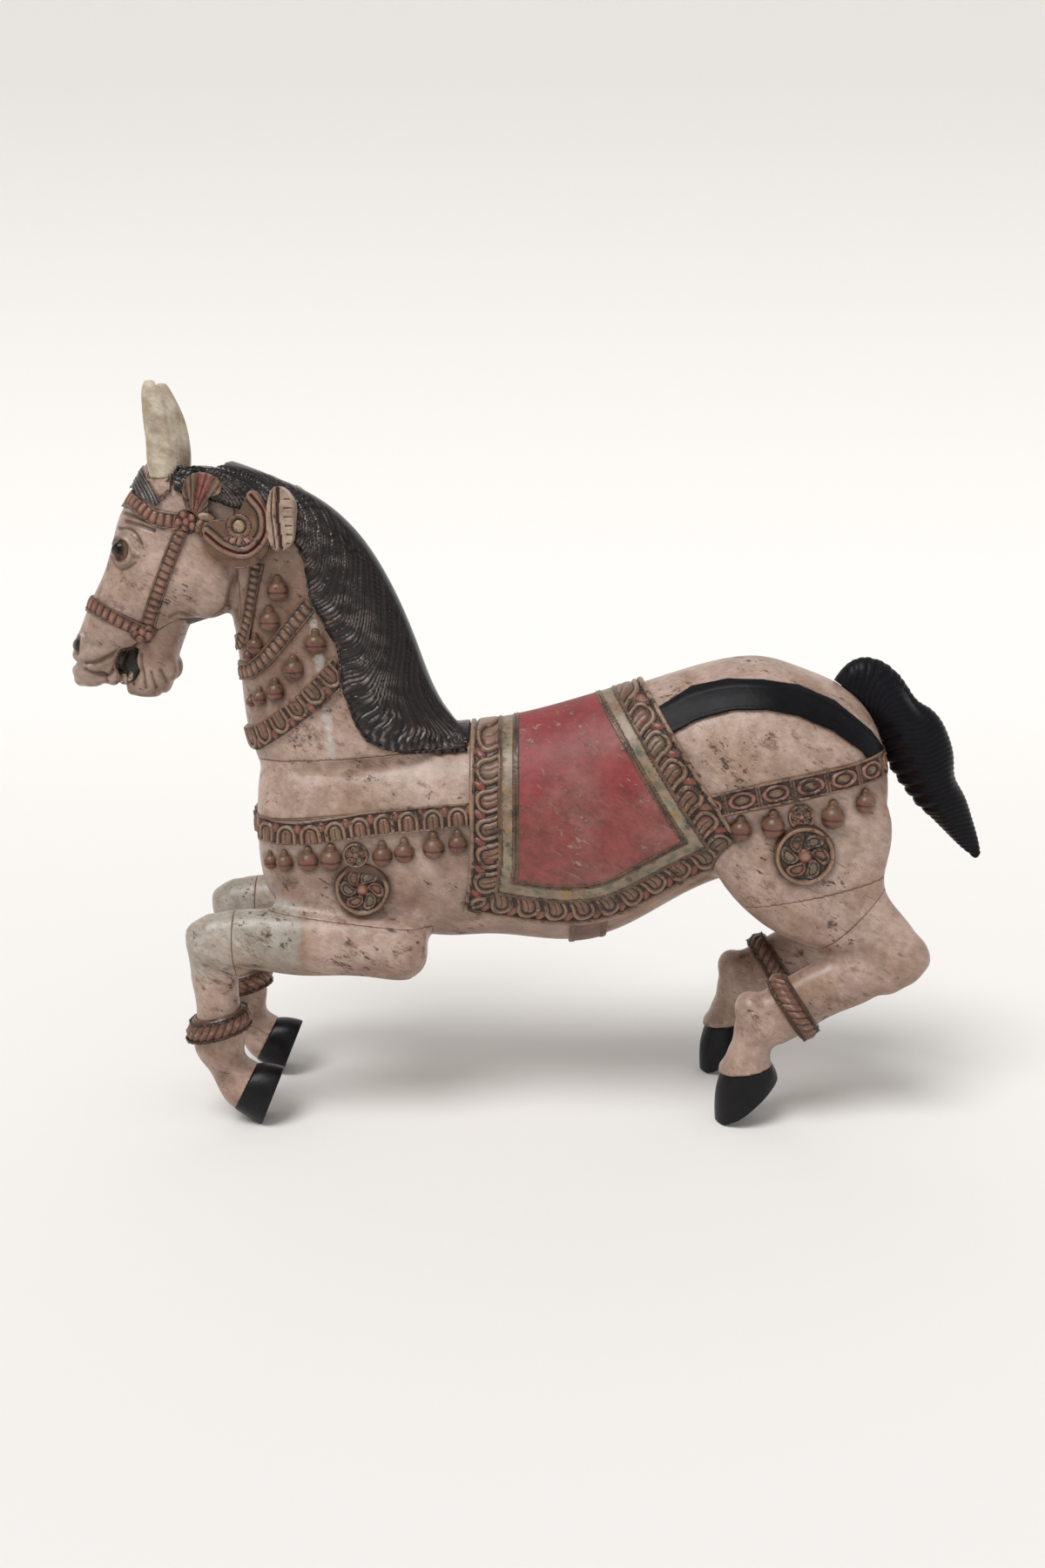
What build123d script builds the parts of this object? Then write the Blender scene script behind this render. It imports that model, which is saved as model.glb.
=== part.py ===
"""Carved and painted procession horse: lofted wooden blocks, their carved harness and the pegs inside.

The head points to -X and the tail to +X, the horse's left flank is at -Y, and the toes stand on z = 0.
"""
from build123d import *
import os
from math import cos, pi, sin

os.makedirs("parts", exist_ok=True)

# ---------------------------------------------------------------- driving dimensions, mm
FORE_Y = 102.0          # middle of a foreleg from the midplane
HIND_Y = 104.0          # middle of a hind leg from the midplane
EAR_Y = 40.0            # middle of an ear from the midplane
REACH = 400.0           # half the width of a cutting prism, wider than the horse
CLOTH_RISE = 10.0       # how far the saddle cloth stands proud of the trunk
BAND_RISE = 8.0         # how far the breast band and the breeching stand proud
STRAP_RISE = 5.0        # how far the narrow straps stand proud
MANE_RISE = 12.0        # thickness of the mane on the neck
ANKLET_RISE = 15.0      # thickness of an anklet on the leg
PEG_PLAY = 0.1          # clearance of a peg in its hole, all round
OUTLINE_POINTS = 12     # points of a cross-section's closed curve

# A station is the pair of edge points of one cross-section in the side view, then its half width:
# (x1, z1, x2, z2, half width). The cross-section is an ellipse between the two points.
TRUNK = [
    (-441, 505, -441, 440, 16), (-437, 548, -437, 396, 46), (-424, 585, -424, 350, 84), (-385, 606, -385, 318, 113),
    (-300, 616, -300, 298, 126), (-200, 619, -200, 287, 130), (-90, 626, -90, 284, 135),
    (30, 650, 30, 276, 141), (110, 674, 110, 284, 142), (190, 700, 190, 322, 140),
    (260, 722, 260, 362, 141), (320, 735, 320, 385, 146), (390, 730, 390, 398, 150),
    (460, 704, 460, 402, 144), (515, 668, 515, 405, 122), (545, 620, 545, 430, 88),
    (558, 570, 558, 475, 45), (562, 540, 562, 505, 16),
]
NECK = [
    (-436, 540, -110, 570, 104), (-448, 600, -124, 622, 96), (-459, 660, -170, 690, 85),
    (-464, 730, -200, 770, 78), (-470, 785, -230, 840, 73), (-482, 835, -268, 905, 70),
    (-505, 885, -322, 962, 67), (-535, 935, -395, 1003, 62), (-565, 975, -470, 1022, 52),
]
HEAD = [
    (-578, 1026, -478, 1020, 40), (-612, 999, -455, 950, 60), (-640, 955, -441, 885, 70),
    (-656, 905, -452, 822, 71), (-672, 862, -505, 796, 62), (-692, 825, -566, 770, 50),
    (-710, 785, -612, 742, 44), (-724, 750, -648, 724, 42), (-728, 715, -672, 705, 38),
    (-715, 692, -680, 690, 26),
]
LOWER_JAW = [
    (-590, 815, -500, 803, 40), (-606, 785, -540, 788, 42), (-612, 755, -556, 750, 38),
    (-620, 722, -566, 718, 35), (-636, 695, -574, 688, 33), (-634, 676, -592, 673, 24),
]
ARM = [
    (-168, 312, -168, 268, 24), (-190, 334, -190, 240, 40), (-245, 343, -245, 240, 46),
    (-330, 350, -330, 244, 47), (-400, 351, -400, 248, 44), (-460, 350, -452, 255, 40),
    (-505, 342, -478, 252, 39), (-540, 312, -500, 248, 36),
]
SHANK = [
    (-535, 318, -470, 300, 34), (-545, 280, -468, 262, 38), (-540, 232, -468, 228, 34),
    (-535, 185, -466, 188, 33), (-540, 148, -460, 158, 36), (-540, 118, -452, 128, 39),
    (-524, 84, -446, 112, 36), (-502, 46, -444, 98, 34), (-480, 20, -444, 92, 35),
]
FORE_HOOF = [(-480, 20, -444, 92, 36), (-460, 6, -424, 92, 39), (-438, -8, -400, 86, 41)]
THIGH = [
    (300, 540, 520, 580, 26), (272, 470, 548, 505, 42), (284, 408, 550, 445, 47), (345, 338, 545, 392, 46),
    (400, 304, 562, 360, 42), (455, 288, 592, 324, 38), (505, 262, 606, 292, 33),
]
HOCK = [
    (572, 338, 618, 296, 26), (532, 312, 604, 254, 34), (486, 284, 550, 218, 34),
    (440, 262, 498, 189, 33), (402, 240, 450, 164, 33), (372, 222, 418, 140, 35),
    (334, 190, 390, 124, 38), (312, 142, 380, 110, 36), (300, 96, 380, 98, 35),
]
HIND_HOOF = [(300, 96, 380, 98, 36), (292, 52, 390, 76, 40), (293, -8, 386, 56, 42)]
TAIL = [
    (470, 690, 484, 634, 24), (560, 728, 541, 612, 36), (618, 682, 562, 570, 42),
    (664, 604, 604, 510, 41), (692, 520, 652, 458, 30), (716, 452, 694, 424, 15),
    (726, 414, 716, 406, 6),
]
EAR = [
    (-582, 1012, -538, 1012, 14), (-588, 1060, -536, 1060, 14), (-592, 1100, -543, 1100, 12),
    (-591, 1132, -556, 1132, 9), (-583, 1155, -569, 1155, 4),
]

# Side-view outlines of the cutting blocks and of the flat carvings, (x, z).
NECK_ZONE = [(-480, 571), (-102, 604), (-102, 780), (-250, 1100), (-640, 1100), (-640, 571)]
HEAD_ZONE = [(-480, 780), (-452, 800), (-452, 1100), (-800, 1100), (-800, 600), (-480, 600)]
JAW_ZONE = [(-548, 800), (-604, 770), (-648, 738), (-660, 640), (-480, 640), (-480, 800)]
MOUTH = [
    (-604, 742), (-616, 756), (-644, 752), (-656, 728), (-652, 680), (-640, 680), (-640, 715),
    (-628, 735),
]
UPPER_TEETH = [(-682, 716), (-654, 732), (-651, 700), (-668, 686)]
LOWER_TEETH = [(-647, 712), (-630, 716), (-626, 684), (-645, 676)]
BELOW_TRUNK = [(200, 331), (640, 430), (640, 200), (200, 200)]
SHANK_ZONE = [(553, 397), (700, 430), (700, -50), (200, -50), (200, 265), (420, 265)]
KNEE_ZONE = [(-600, 400), (-468, 400), (-468, 243), (-380, 243), (-380, -50), (-600, -50)]
GROUND = [(-700, 0), (800, 0), (800, -60), (-700, -60)]
MANE_ZONE = [
    (-545, 1100), (-545, 992), (-500, 980), (-457, 966), (-388, 955), (-352, 893), (-344, 830),
    (-303, 757), (-297, 697), (-278, 643), (-262, 619), (-236, 605), (-199, 596), (-155, 595),
    (-101, 600), (-101, 1100),
]
FORELOCK_ZONE = [(-660, 1006), (-616, 996), (-570, 970), (-545, 992), (-545, 1100), (-660, 1100)]
FORE_ANKLET = [(-570, 132), (-436, 160), (-436, 196), (-570, 168)]
HIND_ANKLET = [(360, 238), (390, 257), (460, 150), (430, 131)]
GIRTH_ZONE = [(57, 200), (57, 420), (117, 420), (117, 200)]
BREAST_ZONE = [
    (-500, 500), (-415, 497), (-284, 509), (-98, 527), (-98, 494), (-232, 477), (-352, 461),
    (-415, 458), (-500, 458),
]
BREECHING_ZONE = [
    (240, 534), (263, 541), (352, 566), (443, 585), (530, 599), (620, 606), (620, 572),
    (530, 563), (458, 548), (380, 529), (285, 508), (262, 503),
]
CRUPPER_ZONE = [
    (150, 646), (204, 676), (243, 699), (297, 711), (350, 711), (404, 703), (460, 679), (517, 633),
    (564, 574), (536, 564), (498, 606), (453, 638), (399, 661), (350, 670), (299, 668), (247, 653),
    (218, 637), (165, 607),
]

THROAT_ZONE = [(-490, 762), (-456, 778), (-444, 829), (-431, 884), (-408, 884), (-424, 829), (-440, 762),
               (-480, 740)]
BEADED_COLLAR_ZONE = [
    (-500, 724), (-440, 736), (-417, 757), (-384, 794), (-348, 834), (-330, 816), (-368, 772),
    (-404, 732), (-436, 706), (-500, 694),
]
LEAF_COLLAR_ZONE = [
    (-500, 612), (-436, 634), (-380, 670), (-338, 711), (-306, 745), (-280, 712), (-326, 668),
    (-381, 628), (-432, 594), (-500, 580),
]
BROWBAND_ZONE = [(-680, 992), (-616, 994), (-573, 967), (-524, 960), (-524, 932), (-575, 941), (-617, 968),
                 (-680, 968)]
NOSEBAND_ZONE = [(-720, 840), (-676, 830), (-604, 794), (-552, 770), (-556, 744), (-606, 768), (-682, 806),
                 (-720, 812)]
CHEEK_STRAP_ZONE = [(-540, 944), (-515, 946), (-586, 782), (-610, 784)]
SCROLL = [
    (-492, 940), (-484, 900), (-450, 880), (-408, 892), (-392, 935), (-404, 975), (-420, 994),
    (-440, 962), (-468, 952),
]
LEAF = [(-384, 906), (-399, 955), (-380, 1000), (-362, 984), (-358, 945), (-368, 910)]
FAN = [(-508, 952), (-526, 975), (-518, 1014), (-494, 1020), (-468, 1002), (-486, 965)]
SCROLL_Y = (56.0, 98.0)
FAN_Y = (36.0, 72.0)

# Round carvings: x, z and radius.
SHOULDER_ROSETTE = (-266, 390, 43)
HIP_ROSETTE = (410, 452, 47)
BREAST_ROUNDEL = (-274, 446, 20)
BREECHING_ROUNDEL = (404, 510, 20)
BREAST_BELLS = [
    (-410, 427, 12), (-386, 429, 14), (-348, 434, 16), (-312, 438, 17), (-233, 444, 16),
    (-199, 450, 16), (-154, 458, 17), (-117, 465, 15),
]
BREECHING_BELLS = [(314, 486, 17), (362, 494, 18), (452, 509, 18), (503, 528, 15)]
NECK_BELLS = [
    (-389, 844, 16), (-404, 798, 16), (-429, 759, 13), (-443, 742, 9), (-333, 764, 16),
    (-368, 724, 16), (-398, 690, 14), (-425, 678, 12), (-442, 670, 8),
]
BRIDLE_ROSETTES = [(-524, 947, 19), (-604, 780, 20), (-494, 938, 18)]
EYE = (-629, 37, 904)
EYE_RADIUS = 14.0
TEETH_Y = 22.0
DISC_ROOT = 60.0        # how deep a boss starts below the skin, before it is trimmed to it
ROSETTE_RISE = 12.0
ROUNDEL_RISE = 9.0
BELL_PROUD = 0.35       # share of a bell's radius by which its middle stands off the skin
KNOB_LIFT = 1.05        # height of the knob's middle over the bell's, as a share of the bell's radius
KNOB_SHARE = 0.5        # radius of the knob, as a share of the bell's
FORELOCK_RISE = 9.0


def section_plane(station, y):
    """The plane of a cross-section: its x runs between the two edge points, its y across the horse."""
    x1, z1, x2, z2, _ = station
    run = Vector(x2 - x1, 0, z2 - z1)
    middle = ((x1 + x2) / 2, y, (z1 + z2) / 2)
    return Plane(origin=middle, x_dir=run, z_dir=run.cross(Vector(0, 1, 0)))


def oval(half_depth, half_width):
    """Points round an ellipse, always begun at the same place so that lofts don't twist."""
    angles = [2 * pi * i / OUTLINE_POINTS for i in range(OUTLINE_POINTS)]
    return [(half_depth * cos(a), half_width * sin(a)) for a in angles]


def form(stations, y=0.0, grow=0.0):
    """A body lofted through elliptical stations, grown by a thickness all round and at both ends."""
    planes = [section_plane(station, y) for station in stations]
    ahead = planes[0].z_dir.dot(planes[1].origin - planes[0].origin) > 0
    outward = grow if ahead else -grow
    planes[0] = planes[0].offset(-outward)
    planes[-1] = planes[-1].offset(outward)
    with BuildPart() as body:
        for plane, station in zip(planes, stations):
            x1, z1, x2, z2, half_width = station
            half_depth = Vector(x2 - x1, 0, z2 - z1).length / 2
            with BuildSketch(plane):
                with BuildLine():
                    Spline(*oval(half_depth + grow, half_width + grow), periodic=True)
                make_face()
        loft()
    return body.part


def prism(points, y_from=-REACH, y_to=REACH):
    """A straight-sided block whose side view is the polygon through the points."""
    with BuildPart() as block:
        with BuildSketch(Plane.XZ.offset(-y_to)):
            with BuildLine():
                Polyline(*points, close=True)
            make_face()
        extrude(amount=y_to - y_from)
    return block.part


def peg(start, finish_, radius):
    """A round peg between two points."""
    way = Vector(*finish_) - Vector(*start)
    with BuildPart(Plane(origin=start, z_dir=way)) as pin:
        Cylinder(radius, way.length, align=(Align.CENTER, Align.CENTER, Align.MIN))
    return pin.part


def save(piece, name):
    """Labels a finished piece and writes its file."""
    piece.label = name
    export_step(piece, f"parts/{name}.step")


def save_pair(piece, name):
    """Writes a piece of the left side, and its mirror image for the right side."""
    save(piece, f"{name}_left")
    save(mirror(piece, about=Plane.XZ), f"{name}_right")


def skin_y(body, x, z):
    """Half the width of a body where a line across the horse at x and z leaves it."""
    line = Axis((x, 0, z), (0, 1, 0))
    return max(abs(point.Y) for point, _ in body.find_intersection_points(line))


def disc(body, x, z, radius, rise):
    """A round boss on the left flank of a body, standing proud of it."""
    outer = -skin_y(body, x, z) - rise
    with BuildPart(Plane((x, outer, z), z_dir=(0, 1, 0))) as boss:
        Cylinder(radius, DISC_ROOT + rise, align=(Align.CENTER, Align.CENTER, Align.MIN))
        fillet(boss.faces().sort_by(Axis.Y)[0].edges(), rise / 3)
    return boss.part


def bell(body, x, z, radius):
    """A round bell half sunk in the left flank of a body, with the knob that it hangs from."""
    y = -skin_y(body, x, z) - radius * BELL_PROUD
    with BuildPart() as jingle:
        with Locations((x, y, z)):
            Sphere(radius)
        with Locations((x, y, z + radius * KNOB_LIFT)):
            Sphere(radius * KNOB_SHARE)
    return jingle.part


# ---------------------------------------------------------------- forms shared by several pieces
trunk_form = form(TRUNK)
neck_form = form(NECK)
head_form = form(HEAD)
jaw_form = form(LOWER_JAW)
thigh_forms = [form(THIGH, y) for y in (-HIND_Y, HIND_Y)]
flank_form = trunk_form + thigh_forms[0] + thigh_forms[1]
neck_zone = prism(NECK_ZONE)
head_zone = prism(HEAD_ZONE)
jaw_zone = prism(JAW_ZONE)
below_trunk = prism(BELOW_TRUNK)
shank_zone = prism(SHANK_ZONE)
knee_zone = prism(KNEE_ZONE)
ground = prism(GROUND)

# ---------------------------------------------------------------- pegs inside, then the holes for them
PEGS = {
    "neck_dowels": [((x, 0, 500), (x, 0, 680), 10) for x in (-330, -220)],
    "head_dowels": [((-520, 0, z), (-390, 0, z), 9) for z in (870, 930)],
    "jaw_peg": [((-572, 0, 835), (-580, 0, 760), 7)],
    "tail_peg": [((450, 0, 668), (535, 0, 692), 10)],
    "ear_pegs": [((-562, y, 985), (-562, y, 1040), 5) for y in (-EAR_Y, EAR_Y)],
    "shoulder_pegs": [((-280, y * 0.86, 280), (-280, y * 0.66, 390), 9) for y in (-FORE_Y, FORE_Y)],
    "knee_pegs": [((-505, y, 302), (-425, y, 300), 8) for y in (-FORE_Y, FORE_Y)],
    "thigh_pegs": [((402, y, 335), (386, y * 0.96, 445), 10) for y in (-HIND_Y, HIND_Y)],
    "hock_pegs": [((458, y, 348), (512, y, 296), 8) for y in (-HIND_Y, HIND_Y)],
    "hoof_pegs": [((-488, y, 66), (-436, y, 46), 6) for y in (-FORE_Y, FORE_Y)]
    + [((340, y, 135), (340, y, 60), 7) for y in (-HIND_Y, HIND_Y)],
}


def cut_holes(*names):
    """Bores the holes for the named pegs in the piece that is being built."""
    for name in names:
        for start, end, radius in PEGS[name]:
            add(peg(start, end, radius + PEG_PLAY), mode=Mode.SUBTRACT)


for name, pins in PEGS.items():
    with BuildPart() as pegs:
        for start, end, radius in pins:
            add(peg(start, end, radius))
    save(pegs.part, name)

# ---------------------------------------------------------------- trunk, neck and head
with BuildPart() as trunk:
    add(flank_form)
    add(below_trunk, mode=Mode.SUBTRACT)
    add(neck_zone, mode=Mode.SUBTRACT)
    cut_holes("neck_dowels", "tail_peg", "shoulder_pegs", "thigh_pegs")
save(trunk.part, "trunk")

with BuildPart() as neck:
    add(neck_form)
    add(trunk_form)
    add(head_form)
    add(neck_zone, mode=Mode.INTERSECT)
    add(head_zone, mode=Mode.SUBTRACT)
    cut_holes("neck_dowels", "head_dowels")
save(neck.part, "neck")

mouth = prism(MOUTH)
with BuildPart() as head:
    add(head_form)
    add(neck_form)
    add(head_zone, mode=Mode.INTERSECT)
    add(jaw_zone, mode=Mode.SUBTRACT)
    add(mouth, mode=Mode.SUBTRACT)
    for y in (-EYE[1], EYE[1]):
        with Locations((EYE[0], y, EYE[2])):
            Sphere(EYE_RADIUS, mode=Mode.SUBTRACT)
    cut_holes("head_dowels", "jaw_peg", "ear_pegs")
save(head.part, "head")

with BuildPart() as lower_jaw:
    add(jaw_form)
    add(jaw_zone, mode=Mode.INTERSECT)
    add(mouth, mode=Mode.SUBTRACT)
    cut_holes("jaw_peg")
save(lower_jaw.part, "lower_jaw")

with BuildPart() as eyes:
    for y in (-EYE[1], EYE[1]):
        with Locations((EYE[0], y, EYE[2])):
            Sphere(EYE_RADIUS)
save(eyes.part, "eyes")

with BuildPart() as upper_teeth:
    add(prism(UPPER_TEETH, -TEETH_Y, TEETH_Y))
    add(head.part, mode=Mode.SUBTRACT)
save(upper_teeth.part, "upper_teeth")

with BuildPart() as lower_teeth:
    add(prism(LOWER_TEETH, -TEETH_Y, TEETH_Y))
    add(lower_jaw.part, mode=Mode.SUBTRACT)
save(lower_teeth.part, "lower_teeth")

ear_forms = [form(EAR, y) for y in (-EAR_Y, EAR_Y)]
with BuildPart() as ear:
    add(ear_forms[0])
    add(head_form, mode=Mode.SUBTRACT)
    cut_holes("ear_pegs")
save_pair(ear.part, "ear")

# ---------------------------------------------------------------- mane, forelock and tail
hair_form = form(NECK, grow=MANE_RISE) + form(HEAD, grow=FORELOCK_RISE) + form(TRUNK, grow=CLOTH_RISE)
with BuildPart() as mane:
    add(hair_form)
    add(prism(MANE_ZONE), mode=Mode.INTERSECT)
    for block in (neck_form, head_form, trunk_form, *ear_forms):
        add(block, mode=Mode.SUBTRACT)
save(mane.part, "mane")

with BuildPart() as forelock:
    add(hair_form)
    add(prism(FORELOCK_ZONE), mode=Mode.INTERSECT)
    for block in (neck_form, head_form, *ear_forms):
        add(block, mode=Mode.SUBTRACT)
save(forelock.part, "forelock")

with BuildPart() as tail:
    add(form(TAIL))
    add(trunk_form, mode=Mode.SUBTRACT)
    cut_holes("tail_peg")
save(tail.part, "tail")

# ---------------------------------------------------------------- legs
arm_form = form(ARM, -FORE_Y)
shank_form = form(SHANK, -FORE_Y)
hock_form = form(HOCK, -HIND_Y)

with BuildPart() as foreleg_upper:
    add(arm_form)
    add(knee_zone, mode=Mode.SUBTRACT)
    add(trunk_form, mode=Mode.SUBTRACT)
    cut_holes("shoulder_pegs", "knee_pegs")
save_pair(foreleg_upper.part, "foreleg_upper")

with BuildPart() as foreleg_lower:
    add(arm_form)
    add(shank_form)
    add(knee_zone, mode=Mode.INTERSECT)
    cut_holes("knee_pegs", "hoof_pegs")
save_pair(foreleg_lower.part, "foreleg_lower")

with BuildPart() as fore_hoof:
    add(form(FORE_HOOF, -FORE_Y))
    add(ground, mode=Mode.SUBTRACT)
    cut_holes("hoof_pegs")
save_pair(fore_hoof.part, "fore_hoof")

with BuildPart() as hind_thigh:
    add(thigh_forms[0])
    add(below_trunk, mode=Mode.INTERSECT)
    add(shank_zone, mode=Mode.SUBTRACT)
    cut_holes("thigh_pegs", "hock_pegs")
save_pair(hind_thigh.part, "hind_thigh")

with BuildPart() as hind_lower:
    add(thigh_forms[0])
    add(hock_form)
    add(shank_zone, mode=Mode.INTERSECT)
    cut_holes("hock_pegs", "hoof_pegs")
save_pair(hind_lower.part, "hind_lower")

with BuildPart() as hind_hoof:
    add(form(HIND_HOOF, -HIND_Y))
    add(ground, mode=Mode.SUBTRACT)
    cut_holes("hoof_pegs")
save_pair(hind_hoof.part, "hind_hoof")

with BuildPart() as fore_anklet:
    add(form(SHANK, -FORE_Y, ANKLET_RISE))
    add(prism(FORE_ANKLET), mode=Mode.INTERSECT)
    add(shank_form, mode=Mode.SUBTRACT)
save_pair(fore_anklet.part, "fore_anklet")

with BuildPart() as hind_anklet:
    add(form(HOCK, -HIND_Y, ANKLET_RISE))
    add(prism(HIND_ANKLET), mode=Mode.INTERSECT)
    add(hock_form, mode=Mode.SUBTRACT)
save_pair(hind_anklet.part, "hind_anklet")

# ---------------------------------------------------------------- saddle cloth, girth and bands
with BuildPart() as saddle_cloth:
    with BuildSketch(Plane.XZ.offset(-REACH)):
        with BuildLine():
            Line((-99, 520), (-99, 800))
            Line((-99, 800), (120, 800))
            Line((120, 800), (165, 712))
            Spline((165, 712), (247, 572), (333, 438))
            Spline((333, 438), (240, 394), (140, 341), (62, 326), (-20, 332), (-110, 350))
            Spline((-110, 350), (-98, 440), (-99, 520))
        make_face()
    extrude(amount=2 * REACH)
    add(form(TRUNK, grow=CLOTH_RISE), mode=Mode.INTERSECT)
    add(flank_form, mode=Mode.SUBTRACT)
save(saddle_cloth.part, "saddle_cloth")

band_form = form(TRUNK, grow=BAND_RISE)
strap_form = form(TRUNK, grow=STRAP_RISE)
trunk_bands = {
    "girth_strap": (strap_form, GIRTH_ZONE),
    "breast_band": (band_form, BREAST_ZONE),
    "breeching_band": (band_form, BREECHING_ZONE),
    "crupper_straps": (strap_form, CRUPPER_ZONE),
}
laid = [flank_form, saddle_cloth.part]
for name, (grown, zone) in trunk_bands.items():
    with BuildPart() as band:
        add(grown)
        add(prism(zone), mode=Mode.INTERSECT)
        for block in laid:
            add(block, mode=Mode.SUBTRACT)
    laid.append(band.part)
    save(band.part, name)

trunk_discs = {
    "shoulder_rosettes": ([SHOULDER_ROSETTE], ROSETTE_RISE),
    "hip_rosettes": ([HIP_ROSETTE], ROSETTE_RISE),
    "flank_roundels": ([BREAST_ROUNDEL, BREECHING_ROUNDEL], ROUNDEL_RISE),
}
for name, (places, rise) in trunk_discs.items():
    with BuildPart() as bosses:
        for x, z, radius in places:
            add(disc(flank_form, x, z, radius, rise))
        for block in (*laid, arm_form):
            add(block, mode=Mode.SUBTRACT)
        mirror(about=Plane.XZ)
    save(bosses.part, name)
    laid.append(bosses.part)

trunk_bells = {"breast_bells": BREAST_BELLS, "breeching_bells": BREECHING_BELLS}
for name, places in trunk_bells.items():
    with BuildPart() as bells:
        for x, z, radius in places:
            add(bell(flank_form, x, z, radius))
        for block in laid:
            add(block, mode=Mode.SUBTRACT)
        mirror(about=Plane.XZ)
    save(bells.part, name)

# ---------------------------------------------------------------- carvings of the neck and the head
neck_bands = {
    "throat_strap": (STRAP_RISE, THROAT_ZONE),
    "beaded_collar": (STRAP_RISE, BEADED_COLLAR_ZONE),
    "leaf_collar": (BAND_RISE, LEAF_COLLAR_ZONE),
}
crest = prism(MANE_ZONE)
collars = []
for name, (rise, zone) in neck_bands.items():
    with BuildPart() as band:
        add(form(NECK, grow=rise))
        add(prism(zone), mode=Mode.INTERSECT)
        for block in (neck_form, head_form, trunk_form, crest):
            add(block, mode=Mode.SUBTRACT)
    collars.append(band.part)
    save(band.part, name)

with BuildPart() as neck_bells:
    for x, z, radius in NECK_BELLS:
        add(bell(neck_form, x, z, radius))
    for block in (neck_form, crest, *collars):
        add(block, mode=Mode.SUBTRACT)
    mirror(about=Plane.XZ)
save(neck_bells.part, "neck_bells")

bridle_form = form(HEAD, grow=STRAP_RISE)
bridle = {"browband": BROWBAND_ZONE, "noseband": NOSEBAND_ZONE, "cheek_straps": CHEEK_STRAP_ZONE}
strapped = [head_form, neck_form, jaw_form, crest]
for name, zone in bridle.items():
    with BuildPart() as strap:
        add(bridle_form)
        add(prism(zone), mode=Mode.INTERSECT)
        for block in strapped:
            add(block, mode=Mode.SUBTRACT)
    strapped.append(strap.part)
    save(strap.part, name)

with BuildPart() as bridle_rosettes:
    for x, z, radius in BRIDLE_ROSETTES:
        add(disc(head_form, x, z, radius, BAND_RISE))
    for block in strapped:
        add(block, mode=Mode.SUBTRACT)
    mirror(about=Plane.XZ)
save(bridle_rosettes.part, "bridle_rosettes")

plates = {
    "temple_scrolls": (SCROLL, SCROLL_Y),
    "temple_leaves": (LEAF, SCROLL_Y),
    "brow_fans": (FAN, FAN_Y),
}
for name, (outline, (y_inner, y_outer)) in plates.items():
    with BuildPart() as plate:
        with BuildSketch(Plane.XZ.offset(y_inner)):
            with BuildLine():
                Spline(*outline, periodic=True)
            make_face()
        extrude(amount=y_outer - y_inner)
        for block in (head_form, neck_form, form(NECK, grow=MANE_RISE), bridle_rosettes.part):
            add(block, mode=Mode.SUBTRACT)
        mirror(about=Plane.XZ)
    save(plate.part, name)
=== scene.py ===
"""Looks of the carved and painted procession horse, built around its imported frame.

The blocks of wood are skinned by remeshing copies of the frame's own blocks, carved with vertex moves and
parted again at their glue lines. Mane, harness, bells and rosettes are relief meshes laid on that skin.
"""
import logging
import math
import time
from dataclasses import dataclass
from enum import Enum
from typing import Callable, Optional, Sequence

import bmesh
import bpy
import numpy as np
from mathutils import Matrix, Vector
from mathutils.bvhtree import BVHTree
from mathutils.kdtree import KDTree


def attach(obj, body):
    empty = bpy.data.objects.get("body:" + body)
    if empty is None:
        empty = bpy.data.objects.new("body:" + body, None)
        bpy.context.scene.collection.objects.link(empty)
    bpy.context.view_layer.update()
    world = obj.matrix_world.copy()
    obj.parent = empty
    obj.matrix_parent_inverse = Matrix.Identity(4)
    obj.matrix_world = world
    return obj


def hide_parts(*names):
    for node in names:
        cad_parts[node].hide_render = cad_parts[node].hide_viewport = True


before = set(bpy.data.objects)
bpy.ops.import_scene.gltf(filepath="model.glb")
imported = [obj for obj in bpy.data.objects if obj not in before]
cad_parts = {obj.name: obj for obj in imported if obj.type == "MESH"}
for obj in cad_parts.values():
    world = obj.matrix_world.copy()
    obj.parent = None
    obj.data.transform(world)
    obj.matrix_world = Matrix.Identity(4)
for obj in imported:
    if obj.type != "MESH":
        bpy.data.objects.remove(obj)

LOG = logging.getLogger("horse")
MM = 0.001
SIDES = (-1.0, 1.0)
Points = Sequence[tuple[float, float]]
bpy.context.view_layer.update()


# ------------------------------------------------------------------------------ mesh helpers
def deselect() -> None:
    """Clears the selection, because operators act on all that is selected."""
    for item in bpy.context.selected_objects:
        item.select_set(False)


def activate(item: bpy.types.Object) -> None:
    """Makes one object the only selected and active one."""
    deselect()
    item.select_set(True)
    bpy.context.view_layer.objects.active = item


def apply_modifiers(item: bpy.types.Object) -> None:
    """Applies every modifier of an object, in order."""
    activate(item)
    for modifier in list(item.modifiers):
        bpy.ops.object.modifier_apply(modifier=modifier.name)


def new_object(name: str, mesh: bpy.types.Mesh) -> bpy.types.Object:
    """Links a mesh into the scene as an object at the origin."""
    item = bpy.data.objects.new(name, mesh)
    bpy.context.scene.collection.objects.link(item)
    return item


def merged_copy(name: str, nodes: Sequence[str]) -> bpy.types.Object:
    """Copies frame nodes into one new mesh with its doubles merged.

    Args:
        name: name of the new object.
        nodes: names of the frame's nodes.

    Returns:
        The new object, at the origin.
    """
    bm = bmesh.new()
    for node in nodes:
        bm.from_mesh(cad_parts[node].data)
    bmesh.ops.remove_doubles(bm, verts=bm.verts, dist=1e-6)
    mesh = bpy.data.meshes.new(name)
    bm.to_mesh(mesh)
    bm.free()
    mesh.materials.clear()
    return new_object(name, mesh)


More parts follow.
